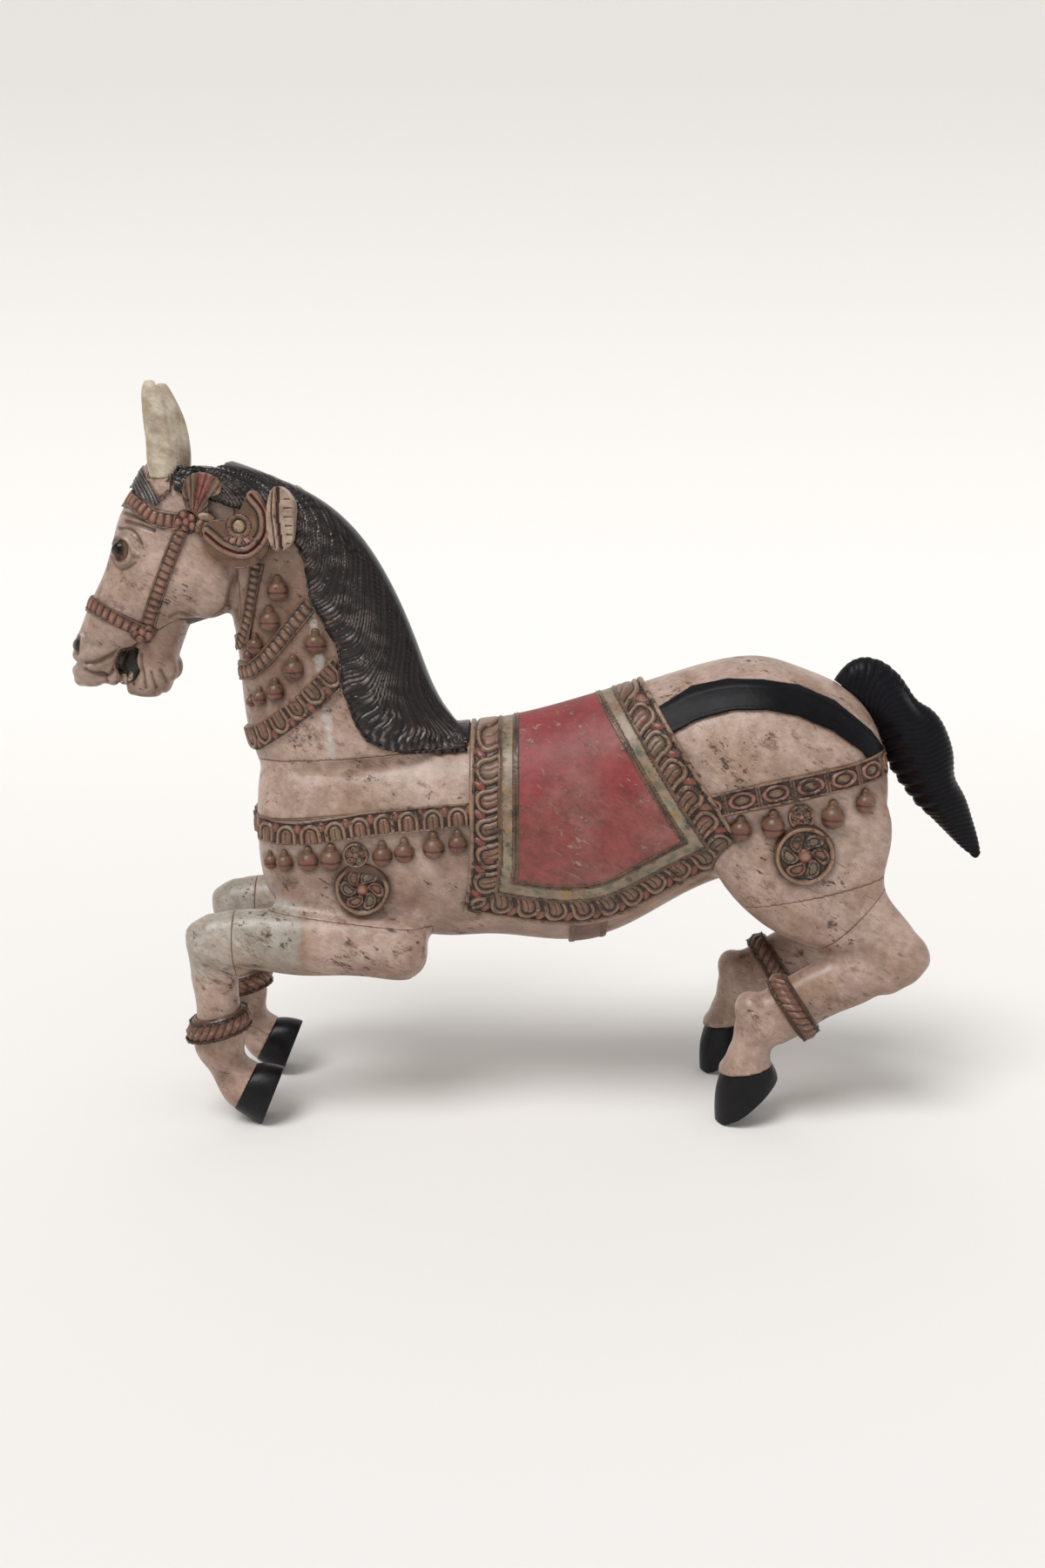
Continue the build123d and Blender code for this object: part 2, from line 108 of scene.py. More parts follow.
def remesh(item: bpy.types.Object, voxel: float, relax: int = 0, every_shell: bool = False) -> None:
    """Rebuilds a mesh at an even grain, keeps its largest shell and relaxes it.

    Args:
        item: the object to rebuild.
        voxel: grain in metres.
        relax: number of smoothing passes.
        every_shell: keep all shells, for a piece made of several loose parts.
    """
    block = item.modifiers.new("grain", "REMESH")
    block.mode, block.voxel_size = "VOXEL", voxel
    apply_modifiers(item)
    if not every_shell:
        keep_largest_shell(item)
    if relax:
        soft = item.modifiers.new("relax", "SMOOTH")
        soft.factor, soft.iterations = 0.5, relax
        apply_modifiers(item)


def thin(item: bpy.types.Object, limit: int = 190_000) -> None:
    """Thins a mesh that has more triangles than the given limit."""
    count = sum(len(face.vertices) - 2 for face in item.data.polygons)
    if count > limit:
        block = item.modifiers.new("thin", "DECIMATE")
        block.ratio = limit / count
        apply_modifiers(item)


def keep_largest_shell(item: bpy.types.Object) -> None:
    """Deletes all but the biggest connected part of a mesh."""
    bm = bmesh.new()
    bm.from_mesh(item.data)
    left = set(bm.verts)
    shells = []
    while left:
        seed = left.pop()
        shell, edge = {seed}, [seed]
        while edge:
            for link in edge.pop().link_edges:
                for vert in link.verts:
                    if vert in left:
                        left.discard(vert)
                        shell.add(vert)
                        edge.append(vert)
        shells.append(shell)
    shells.sort(key=len)
    for shell in shells[:-1]:
        bmesh.ops.delete(bm, geom=list(shell), context="VERTS")
    bm.to_mesh(item.data)
    bm.free()


def vert_array(item: bpy.types.Object) -> np.ndarray:
    """Reads a mesh's vertex places as an (n, 3) array."""
    flat = np.empty(len(item.data.vertices) * 3, dtype=np.float32)
    item.data.vertices.foreach_get("co", flat)
    return flat.reshape(-1, 3).astype(float)


def normal_array(item: bpy.types.Object) -> np.ndarray:
    """Reads a mesh's vertex normals as an (n, 3) array."""
    flat = np.empty(len(item.data.vertices) * 3, dtype=np.float32)
    item.data.vertex_normals.foreach_get("vector", flat)
    return flat.reshape(-1, 3).astype(float)


def set_verts(item: bpy.types.Object, places: np.ndarray) -> None:
    """Writes vertex places back to a mesh."""
    item.data.vertices.foreach_set("co", places.astype(np.float32).ravel())
    item.data.update()


def set_tint(item: bpy.types.Object, name: str, values: np.ndarray) -> None:
    """Stores a per-vertex colour (n, 3) or number (n,) on a mesh.

    Args:
        item: the object.
        name: attribute name that the materials read.
        values: linear colours or plain numbers.
    """
    if values.ndim == 2:
        layer = item.data.attributes.new(name, "FLOAT_COLOR", "POINT")
        full = np.ones((len(values), 4), dtype=np.float32)
        full[:, :3] = values
        layer.data.foreach_set("color", full.ravel())
    else:
        layer = item.data.attributes.new(name, "FLOAT", "POINT")
        layer.data.foreach_set("value", values.astype(np.float32))


def smooth_shade(item: bpy.types.Object, degrees: float = 180.0) -> None:
    """Shades a mesh smooth, sharp only above an angle."""
    activate(item)
    if degrees >= 180.0:
        bpy.ops.object.shade_smooth()
    else:
        bpy.ops.object.shade_smooth_by_angle(angle=math.radians(degrees))


def smoothstep(low: float, high: float, value: np.ndarray) -> np.ndarray:
    """Smooth 0 to 1 ramp of value between low and high."""
    t = np.clip((value - low) / (high - low), 0.0, 1.0)
    return t * t * (3.0 - 2.0 * t)


def bump(value: np.ndarray, middle: float, width: float) -> np.ndarray:
    """A rounded ridge of height 1 at middle that falls to 0 at half its width."""
    t = np.clip(np.abs(value - middle) / (width / 2), 0.0, 1.0)
    return np.sqrt(np.maximum(0.0, 1.0 - t * t))


def curve_through(points: Points, count: int) -> np.ndarray:
    """Samples a smooth curve through points at even steps.

    Args:
        points: the points that the curve passes.
        count: number of samples.

    Returns:
        Array (count, k) of places along the curve.
    """
    ends = np.asarray(points, dtype=float)
    padded = np.vstack([2 * ends[0] - ends[1], ends, 2 * ends[-1] - ends[-2]])
    fine = []
    for a, b, c, d in zip(padded, padded[1:], padded[2:], padded[3:]):
        t = np.linspace(0, 1, 24, endpoint=False)[:, None]
        fine.append(0.5 * (2 * b + (c - a) * t + (2 * a - 5 * b + 4 * c - d) * t**2
                           + (3 * b - a - 3 * c + d) * t**3))
    path = np.vstack(fine + [ends[-1:]])
    run = np.concatenate([[0], np.cumsum(np.linalg.norm(np.diff(path, axis=0), axis=1))])
    even = np.linspace(0, run[-1], count)
    return np.stack([np.interp(even, run, path[:, k]) for k in range(path.shape[1])], axis=1)


def build_mesh(name: str, verts: np.ndarray, faces: np.ndarray) -> bpy.types.Object:
    """Makes an object from arrays of vertex places and of faces with one corner count.

    Args:
        name: name of the new object.
        verts: (n, 3) places in metres.
        faces: (m, 3) or (m, 4) vertex indices.

    Returns:
        The new object.
    """
    mesh = bpy.data.meshes.new(name)
    mesh.vertices.add(len(verts))
    mesh.vertices.foreach_set("co", verts.astype(np.float32).ravel())
    mesh.loops.add(faces.size)
    mesh.loops.foreach_set("vertex_index", faces.astype(np.int32).ravel())
    mesh.polygons.add(len(faces))
    mesh.polygons.foreach_set("loop_start", np.arange(0, faces.size, faces.shape[1], dtype=np.int32))
    mesh.update(calc_edges=True)
    return new_object(name, mesh)


def edge_array(item: bpy.types.Object) -> np.ndarray:
    """Reads a mesh's edges as (n, 2) vertex indices."""
    flat = np.empty(len(item.data.edges) * 2, dtype=np.int32)
    item.data.edges.foreach_get("vertices", flat)
    return flat.reshape(-1, 2)


def spread(values: np.ndarray, edges: np.ndarray, passes: int) -> np.ndarray:
    """Averages per-vertex values with those of their neighbours.

    Args:
        values: (n,) or (n, k) values.
        edges: (m, 2) vertex indices.
        passes: how often to average.

    Returns:
        The averaged values.
    """
    out = values.astype(float)
    count = np.bincount(edges.ravel(), minlength=len(values)).astype(float)
    count = np.maximum(count, 1.0)
    for _ in range(passes):
        if out.ndim == 1:
            total = (np.bincount(edges[:, 0], out[edges[:, 1]], len(values))
                     + np.bincount(edges[:, 1], out[edges[:, 0]], len(values)))
            out = 0.5 * out + 0.5 * total / count
        else:
            out = np.stack([spread(out[:, k], edges, 1) for k in range(out.shape[1])], axis=1)
    return out


def store_cavity(item: bpy.types.Object, passes: int = 6, scale: float = 1.0,
                 rim: Optional[np.ndarray] = None) -> None:
    """Stores how hollow the surface is at each vertex, 0.5 for flat, towards 1 in a crevice.

    Args:
        item: the object.
        passes: width of the neighbourhood in averaging steps.
        scale: sensitivity.
        rim: marks of the vertices on a glue line, which count as a fine crevice.
    """
    places, normals, edges = vert_array(item), normal_array(item), edge_array(item)
    lift = np.einsum("ij,ij->i", spread(places, edges, passes) - places, normals) / MM
    if rim is not None:
        edges = edges[np.linalg.norm(places[edges[:, 0]] - places[edges[:, 1]], axis=1) < 0.02]
        near = spread(rim, edges, 3)
        lift = np.where(near > 0.01, 0.0, lift)
    value = np.clip(0.5 + lift * 0.5 * scale, 0.0, 1.0)
    set_tint(item, "cavity", value if rim is None else np.maximum(value, 0.5 + 0.3 * rim))


def wave_noise(places: np.ndarray, size: float, seed: float) -> np.ndarray:
    """A cheap smooth variation in -1 to 1, made of a few slanted waves.

    Args:
        places: (n, 3) places in metres.
        size: wavelength in metres.
        seed: offset that picks another pattern.

    Returns:
        (n,) values.
    """
    total = np.zeros(len(places))
    for k in range(5):
        angle = seed * 1.7 + k * 2.399
        way = np.array([math.cos(angle), math.sin(angle * 1.3), math.sin(angle)])
        total += np.sin(places @ way * (2 * math.pi / size) * (1 + 0.27 * k) + seed * 3.1 + k * 1.9)
    return total / 3.2


def flank_line(x: np.ndarray, z: np.ndarray, start: tuple[float, float],
               end: tuple[float, float]) -> np.ndarray:
    """Signed distance in mm of side-view points from a line, positive to the left of start to end."""
    run = np.array(end, dtype=float) - np.array(start, dtype=float)
    run /= np.linalg.norm(run)
    return run[0] * (z - start[1]) - run[1] * (x - start[0])


def inside(x: np.ndarray, z: np.ndarray, outline: Points) -> np.ndarray:
    """Tells which side-view points lie inside a closed outline."""
    hit = np.zeros(len(x), dtype=bool)
    for (x1, z1), (x2, z2) in zip(outline, list(outline[1:]) + [outline[0]]):
        if z1 == z2:
            continue
        crosses = ((z1 > z) != (z2 > z)) & (x < (x2 - x1) * (z - z1) / (z2 - z1) + x1)
        hit ^= crosses
    return hit


# ------------------------------------------------------------------------------ finishes
def linear(code: str) -> tuple[float, float, float, float]:
    """Turns an sRGB hex colour into linear RGBA."""
    parts = [int(code[i:i + 2], 16) / 255 for i in (1, 3, 5)]
    values = [c / 12.92 if c <= 0.04045 else ((c + 0.055) / 1.055) ** 2.4 for c in parts]
    return (values[0], values[1], values[2], 1.0)


def tone(code: str) -> tuple[float, float, float]:
    """Turns an sRGB hex colour into linear RGB, for colours stored on a mesh."""
    return linear(code)[:3]


def add_node(tree: bpy.types.NodeTree, kind: str, settings: Optional[dict] = None,
             inputs: Optional[dict] = None) -> bpy.types.Node:
    """Adds one shader node with its settings and inputs.

    Args:
        tree: the material's node tree.
        kind: node type name.
        settings: attributes of the node.
        inputs: socket name or index to a value or to another node's output socket.

    Returns:
        The node.
    """
    node = tree.nodes.new(kind)
    for name, value in (settings or {}).items():
        setattr(node, name, value)
    for key, value in (inputs or {}).items():
        socket = node.inputs[key]
        if isinstance(value, bpy.types.NodeSocket):
            tree.links.new(value, socket)
        else:
            socket.default_value = value
    return node


@dataclass(frozen=True)
class Finish:
    """Paint on carved wood.

    Attributes:
        name: name of the finish.
        colour: main colour, or the colour that multiplies the piece's own tint.
        second: colour of worn or faded patches.
        grime: colour that settles in crevices.
        chip: colour under chipped paint.
        roughness: how matt the paint is.
        patch_mm: size of the faded patches.
        grime_share: 0 to 1, how dirty it is.
        chip_share: 0 to 1, how much is chipped.
        scratch: 0 to 1, strength of fine scratches.
        tinted: whether the piece carries its own "tint" colours.
        bump_mm: depth of the grain of brush and chisel.
        shine: how strongly the surface reflects.
    """

    name: str
    colour: str
    second: str
    grime: str
    chip: str
    roughness: float = 0.5
    patch_mm: float = 60.0
    grime_share: float = 0.5
    chip_share: float = 0.3
    scratch: float = 0.3
    tinted: bool = False
    bump_mm: float = 0.25
    shine: float = 0.5


def noise(tree: bpy.types.NodeTree, vector: bpy.types.NodeSocket, size_mm: float, detail: float = 3.0,
          rough: float = 0.55, stretch: tuple[float, float, float] = (1, 1, 1)) -> bpy.types.NodeSocket:
    """Adds a noise of a real size.

    Args:
        tree: node tree.
        vector: object coordinates.
        size_mm: size of its blobs.
        detail: octaves.
        rough: roughness of the octaves.
        stretch: scale along each axis.

    Returns:
        The noise's value socket.
    """
    mapped = add_node(tree, "ShaderNodeMapping", {"vector_type": "TEXTURE"},
                      {"Vector": vector, "Rotation": (0.2, 0.5, 0.3), "Scale": tuple(1 / k for k in stretch)})
    texture = add_node(tree, "ShaderNodeTexNoise", None,
                       {"Vector": mapped.outputs[0], "Scale": 1.0 / (size_mm * MM), "Detail": detail,
                        "Roughness": rough})
    return texture.outputs[0]


def ramp(tree: bpy.types.NodeTree, value: bpy.types.NodeSocket, low: float,
         high: float) -> bpy.types.NodeSocket:
    """Maps a value smoothly from 0 at low to 1 at high."""
    node = add_node(tree, "ShaderNodeMapRange", {"interpolation_type": "SMOOTHSTEP"},
                    {"Value": value, "From Min": low, "From Max": high, "To Min": 0.0, "To Max": 1.0})
    return node.outputs[0]


def maths(tree: bpy.types.NodeTree, operation: str, *values) -> bpy.types.NodeSocket:
    """Adds a sum, product or other operation of one to three values."""
    node = add_node(tree, "ShaderNodeMath", {"operation": operation}, dict(enumerate(values)))
    return node.outputs[0]


def mix(tree: bpy.types.NodeTree, share, first, second, blend: str = "MIX") -> bpy.types.NodeSocket:
    """Mixes two colours by a share."""
    node = tree.nodes.new("ShaderNodeMix")
    node.data_type = "RGBA"
    node.blend_type = blend
    for index, value in ((0, share), (6, first), (7, second)):
        if isinstance(value, bpy.types.NodeSocket):
            tree.links.new(value, node.inputs[index])
        else:
            node.inputs[index].default_value = value
    return node.outputs[2]


def dirt_share(tree: bpy.types.NodeTree, where: bpy.types.NodeSocket, cavity: bpy.types.NodeSocket,
               share: float) -> bpy.types.NodeSocket:
    """How dirty each place is: dark crevices, and soiled streaks within some areas.

    Args:
        tree: node tree.
        where: object coordinates.
        cavity: how hollow the surface is.
        share: 0 to 1, how dirty the whole piece is.

    Returns:
        The share of grime over the paint.
    """
    streaks = noise(tree, where, 26.0, 7.0, 0.76, (0.6, 1.0, 1.3))
    areas = ramp(tree, noise(tree, where, 150.0, 2.0, 0.5), 0.38, 0.6)
    soiled = maths(tree, "MULTIPLY", ramp(tree, streaks, 0.54, 0.62), areas)
    crevices = maths(tree, "MULTIPLY", ramp(tree, cavity, 0.5, 0.9), 1.5)
    both = maths(tree, "ADD", crevices, maths(tree, "MULTIPLY", soiled, 0.8))
    return maths(tree, "MINIMUM", maths(tree, "MULTIPLY", both, share), 0.93)


def chip_share(tree: bpy.types.NodeTree, where: bpy.types.NodeSocket, cavity: bpy.types.NodeSocket,
               share: float) -> bpy.types.NodeSocket:
    """Where the paint is chipped: small sharp marks in groups, most of them on raised edges.

    Args:
        tree: node tree.
        where: object coordinates.
        cavity: how hollow the surface is.
        share: 0 to 1, how much of the paint is chipped.

    Returns:
        0 on sound paint, 1 in a chip.
    """
    marks = noise(tree, where, 12.0, 7.0, 0.76, (0.55, 1.0, 1.2))
    spots = noise(tree, where, 70.0, 2.0, 0.5)
    groups = maths(tree, "MULTIPLY", maths(tree, "SUBTRACT", spots, 0.5), 0.4)
    edge = maths(tree, "MULTIPLY", maths(tree, "SUBTRACT", 0.5, cavity), 0.3)
    worn = maths(tree, "ADD", maths(tree, "ADD", marks, edge), groups)
    level = 0.72 - share * 0.14
    return ramp(tree, worn, level, level + 0.025)


def mottled(tree: bpy.types.NodeTree, colour: bpy.types.NodeSocket, share: bpy.types.NodeSocket,
            dark: tuple, light: tuple) -> bpy.types.NodeSocket:
    """Multiplies a colour by a tint that runs from dark to light."""
    return mix(tree, 1.0, colour, mix(tree, share, dark, light), "MULTIPLY")


def paint(finish: Finish) -> bpy.types.Material:
    """Builds the material of a finish, or returns it if it was built before."""
    if finish.name in bpy.data.materials:
        return bpy.data.materials[finish.name]
    material = bpy.data.materials.new(finish.name)
    material.use_nodes = True
    tree = material.node_tree
    tree.nodes.clear()
    where = add_node(tree, "ShaderNodeTexCoord").outputs["Object"]
    cavity = add_node(tree, "ShaderNodeAttribute", {"attribute_name": "cavity"}).outputs["Fac"]
    base = linear(finish.colour)
    if finish.tinted:
        base = add_node(tree, "ShaderNodeAttribute", {"attribute_name": "tint"}).outputs["Color"]
    patches = ramp(tree, noise(tree, where, finish.patch_mm, 5.0, 0.6), 0.45, 0.68)
    shade = mix(tree, maths(tree, "MULTIPLY", patches, 0.6), base, linear(finish.second))
    cloud = noise(tree, where, 42.0, 6.0, 0.7)
    shade = mottled(tree, shade, ramp(tree, cloud, 0.3, 0.66), (0.74, 0.7, 0.66, 1), (1.1, 1.09, 1.09, 1))
    fibres = ramp(tree, noise(tree, where, 7.0, 5.0, 0.75, (0.4, 1.0, 0.9)), 0.36, 0.62)
    shade = mottled(tree, shade, fibres, (0.85, 0.82, 0.79, 1), (1.05, 1.05, 1.05, 1))
    shade = mix(tree, dirt_share(tree, where, cavity, finish.grime_share), shade, linear(finish.grime))
    chips = chip_share(tree, where, cavity, finish.chip_share)
    shade = mix(tree, maths(tree, "MULTIPLY", chips, 0.85), shade, linear(finish.chip))
    lines = ramp(tree, noise(tree, where, 11.0, 3.0, 0.55, (0.2, 1.0, 3.0)), 0.66, 0.7)
    shade = mix(tree, maths(tree, "MULTIPLY", lines, finish.scratch), shade, linear(finish.chip))
    waves = noise(tree, where, 30.0, 3.0, 0.5)
    height = maths(tree, "SUBTRACT", waves, maths(tree, "MULTIPLY", chips, 0.3))
    bumps = add_node(tree, "ShaderNodeBump", None,
                     {"Height": height, "Strength": 1.0, "Distance": finish.bump_mm * MM * 4})
    rough = maths(tree, "ADD", finish.roughness - 0.08, maths(tree, "MULTIPLY", cloud, 0.2))
    shader = add_node(tree, "ShaderNodeBsdfPrincipled", None,
                      {"Base Color": shade, "Roughness": rough, "Normal": bumps.outputs[0],
                       "Specular IOR Level": finish.shine})
    add_node(tree, "ShaderNodeOutputMaterial", None, {"Surface": shader.outputs[0]})
    return material


CREAM = Finish("aged pinkish cream paint", "#b59c8d", "#b8a294", "#6a4c3a", "#3a2b28", roughness=0.33,
               patch_mm=120.0, grime_share=0.85, chip_share=0.6, scratch=0.5, tinted=True)
EAR_PAINT = Finish("greenish cream ear paint", "#c9bfae", "#b4a28c", "#7a6048", "#3a2c22", roughness=0.36,
                   patch_mm=60.0, grime_share=0.5, chip_share=0.3, scratch=0.4, tinted=True)
BLACK = Finish("black gloss paint", "#0e0d11", "#17151b", "#0b090a", "#3c342f", roughness=0.34,
               patch_mm=40.0, grime_share=0.2, chip_share=0.15, scratch=0.3, shine=0.25)
HAIR = Finish("brown-black hair paint", "#1d1715", "#231a18", "#080606", "#4a382c", roughness=0.24,
              patch_mm=50.0, grime_share=0.6, chip_share=0.2, scratch=0.2, tinted=True, shine=0.45)
OCHRE = Finish("ochre ornament paint", "#977966", "#856650", "#24170f", "#20150f", roughness=0.34,
               patch_mm=30.0, grime_share=0.85, chip_share=0.45, scratch=0.3, tinted=True)
CRIMSON = Finish("worn crimson saddle paint", "#8e2e36", "#986a63", "#4a2a22", "#a07a70", roughness=0.5,
                 patch_mm=75.0, grime_share=0.5, chip_share=0.8, scratch=0.5, tinted=True)
TAIL_PAINT = Finish("blue-black tail paint", "#0c0b0f", "#15141a", "#060507", "#33251f", roughness=0.36,
                    patch_mm=50.0, grime_share=0.3, chip_share=0.1, scratch=0.25, tinted=True, shine=0.12)
EYE_PAINT = Finish("eye enamel", "#efe6da", "#8f7866", "#6b4a38", "#3a2a22", roughness=0.15,
                   patch_mm=30.0, grime_share=0.2, chip_share=0.0, scratch=0.0, tinted=True, bump_mm=0.1,
                   shine=0.25)
TOOTH = Finish("tooth paint", "#b9a894", "#a8927e", "#4a3428", "#3a2a22", roughness=0.4,
               patch_mm=10.0, grime_share=0.9, chip_share=0.3, scratch=0.3)


def finish_piece(item: bpy.types.Object, nodes: Sequence[str], finish: Finish,
                 degrees: float = 180.0) -> bpy.types.Object:
    """Gives a piece its paint, hangs it under the root body and hides the frame nodes that it replaces.
        finish: its paint.
        degrees: angle above which edges stay sharp.

    Returns:
        The same piece.
    """
    thin(item)
    item.data.materials.clear()
    item.data.materials.append(paint(finish))
    smooth_shade(item, degrees)
    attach(item, "root")
    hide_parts(*nodes)
    return item


# ------------------------------------------------------------------------------ the wooden blocks
class Block(Enum):
    """The blocks of wood that the skin of the body is parted into."""

    TRUNK = 0
    NECK = 1
    HEAD = 2
    FORE_UPPER = 3
    FORE_LOWER = 4
    FORE_HOOF = 5
    THIGH = 6
    HIND_LOWER = 7
    HIND_HOOF = 8


HEAD_ZONE = ((-480, 780), (-452, 800), (-452, 1150), (-800, 1150), (-800, 600), (-480, 600))
NECK_ZONE = ((-500, 573), (-102, 604), (-102, 780), (-250, 1100), (-640, 1100), (-640, 560))
ACROSS = 300.0  # more than half the width of the horse, mm
TALL = 1200.0  # more than its height, mm
LEG_Y = 58.0
ARM_SEAM = ((-600, 372), (-150, 320))
ARM_END = -160.0
KNEE_X = -468.0
FORE_HOOF_SEAM = ((-444, 92), (-480, 20))
THIGH_SEAM = ((200, 331), (640, 430))
SHANK_SEAM = ((420, 265), (553, 397))
HIND_HOOF_SEAM = ((300, 83), (380, 97))


def classify(p: np.ndarray) -> np.ndarray:
    """Names the block that each place belongs to.

    Args:
        p: (n, 3) places in mm.

    Returns:
        (n,) values of Block.
    """
    x, y, z = p.T
    kind = np.full(len(p), Block.TRUNK.value)
    side = np.abs(y) > LEG_Y
    fore = side & (x < ARM_END) & (flank_line(x, z, *ARM_SEAM) < 0)
    hind = (np.abs(y) > 40) & (x > 250) & (flank_line(x, z, *THIGH_SEAM) < 0)
    kind[fore] = Block.FORE_UPPER.value
    kind[fore & ((x < KNEE_X) | (z < 243))] = Block.FORE_LOWER.value
    kind[fore & (flank_line(x, z, *FORE_HOOF_SEAM) > 0) & (z < 110)] = Block.FORE_HOOF.value
    kind[hind] = Block.THIGH.value
    kind[hind & ((flank_line(x, z, *SHANK_SEAM) < 0) | (z < 265))] = Block.HIND_LOWER.value
    kind[hind & (flank_line(x, z, *HIND_HOOF_SEAM) < 0)] = Block.HIND_HOOF.value
    neck = inside(x, z, NECK_ZONE)
    kind[neck] = Block.NECK.value
    kind[inside(x, z, HEAD_ZONE)] = Block.HEAD.value
    return kind


def cut_lines(item: bpy.types.Object, cuts: Sequence[tuple]) -> None:
    """Cuts a mesh along planes, each only inside a box, and triangulates it.

    Args:
        item: the object.
        cuts: (point, normal, lowest corner, highest corner) in mm.
    """
    bm = bmesh.new()
    bm.from_mesh(item.data)
    for point, normal, low, high in cuts:
        lows, highs = Vector(low) * MM, Vector(high) * MM
        faces = [f for f in bm.faces
                 if all(lows[k] < f.verts[0].co[k] < highs[k] for k in range(3))]
        near = set(faces)
        for face in faces:
            near.update(face.verts)
            near.update(face.edges)
        bmesh.ops.bisect_plane(bm, geom=list(near), plane_co=Vector(point) * MM,
                               plane_no=Vector(normal), dist=1e-6)
    bmesh.ops.triangulate(bm, faces=bm.faces)
    bm.to_mesh(item.data)
    bm.free()


def line_cut(start: tuple[float, float], end: tuple[float, float], low: tuple[float, float],
             high: tuple[float, float]) -> tuple:
    """A cutting plane that runs across the horse through a side-view line, kept to a side-view box."""
    return ((start[0], 0, start[1]), (end[1] - start[1], 0, start[0] - end[0]),
            (low[0], -ACROSS, low[1]), (high[0], ACROSS, high[1]))


def triangles(item: bpy.types.Object) -> np.ndarray:
    """Reads an all-triangle mesh's faces."""
    flat = np.empty(len(item.data.loops), dtype=np.int32)
    item.data.loops.foreach_get("vertex_index", flat)
    return flat.reshape(-1, 3)


def capped(verts: np.ndarray, faces: np.ndarray, shrink: float) -> tuple[np.ndarray, np.ndarray, np.ndarray]:
    """Closes the open rims of a triangle mesh with fans and draws the rims in a little.

    Args:
        verts: (n, 3) places in metres.
        faces: (m, 3) triangles.
        shrink: how far a rim is drawn towards its middle, in metres.

    Returns:
        New places, new triangles and a 0 to 1 rim mark per vertex.
    """
    ends: dict[int, int] = {}
    pairs = np.vstack([faces[:, (0, 1)], faces[:, (1, 2)], faces[:, (2, 0)]])
    key = np.sort(pairs, axis=1)
    _, index, count = np.unique(key, axis=0, return_index=True, return_counts=True)
    for a, b in pairs[index[count == 1]]:
        ends[int(a)] = int(b)
    places, extra = list(verts), []
    rim = np.zeros(len(verts))
    out = [faces]
    while ends:
        start = next(iter(ends))
        ring = [start]
        at = ends.pop(start)
        while at in ends:
            ring.append(at)
            at = ends.pop(at)
        if len(ring) < 3:
            continue
        middle = np.mean([verts[i] for i in ring], axis=0)
        for i in ring:
            way = middle - verts[i]
            places[i] = verts[i] + way / np.linalg.norm(way) * shrink
            rim[i] = 1.0
        centre = len(places)
        places.append(middle)
        extra.append(1.0)
        out.append(np.array([(b, a, centre) for a, b in zip(ring, ring[1:] + ring[:1])]))
    return np.array(places), np.vstack(out), np.concatenate([rim, extra])


def cut_block(name: str, verts: np.ndarray, faces: np.ndarray,
              seam: float) -> tuple[bpy.types.Object, np.ndarray, np.ndarray]:
    """Makes a closed block out of some triangles of a skin.

    Args:
        name: name of the block.
        verts: places of the whole skin in metres.
        faces: the triangles that belong to the block.
        seam: how far its rims are drawn in, in metres.

    Returns:
        The block, its 0 to 1 rim marks and the numbers of its vertices in the skin.
    """
    used, local = np.unique(faces, return_inverse=True)
    places, closed, rim = capped(verts[used], local.reshape(-1, 3), seam)
    return build_mesh(name, places, closed), rim, used


def clay_ball(name: str, middle: Sequence[float], radii: Sequence[float],
              turn: float = 0.0) -> bpy.types.Object:
    """An ellipsoid of added volume, in mm, turned in the side view by some degrees."""
    deselect()
    bpy.ops.mesh.primitive_uv_sphere_add(segments=24, ring_count=16, radius=1.0,
                                         location=[v * MM for v in middle],
                                         rotation=(0.0, math.radians(turn), 0.0))
    ball = bpy.context.active_object
    ball.name = name
    ball.scale = [r * MM for r in radii]
    bpy.ops.object.transform_apply(location=True, rotation=True, scale=True)
    return ball


def paired_balls(rows: Sequence[tuple]) -> list[bpy.types.Object]:
    """Makes each ellipsoid on both sides of the horse.

    Args:
        rows: name, middle on the right-hand side of the midplane, radii (both mm) and turn in degrees.

    Returns:
        The balls, one side after the other.
    """
    return [clay_ball(name, (x, side * y, z), radii, turn)
            for side in SIDES for name, (x, y, z), radii, turn in rows]


def join(main: bpy.types.Object, others: Sequence[bpy.types.Object]) -> None:
    """Joins other objects into the main one."""
    deselect()
    for item in others:
        item.select_set(True)
    main.select_set(True)
    bpy.context.view_layer.objects.active = main
    bpy.ops.object.join()


def close_clefts(item: bpy.types.Object, radius: float, voxel: float) -> None:
    """Fills every cleft narrower than a radius, so that joined forms flow into each other.

    Args:
        item: the object.
        radius: radius of the fillets, in metres.
        voxel: grain of the result, in metres.
    """
    remesh(item, voxel)
    swell = item.modifiers.new("swell", "DISPLACE")
    swell.mid_level, swell.strength = 0.0, radius
    apply_modifiers(item)
    remesh(item, voxel, 1)
    sink = item.modifiers.new("sink", "DISPLACE")
    sink.mid_level, sink.strength = 0.0, -radius
    apply_modifiers(item)
    remesh(item, voxel * 0.8, 3)


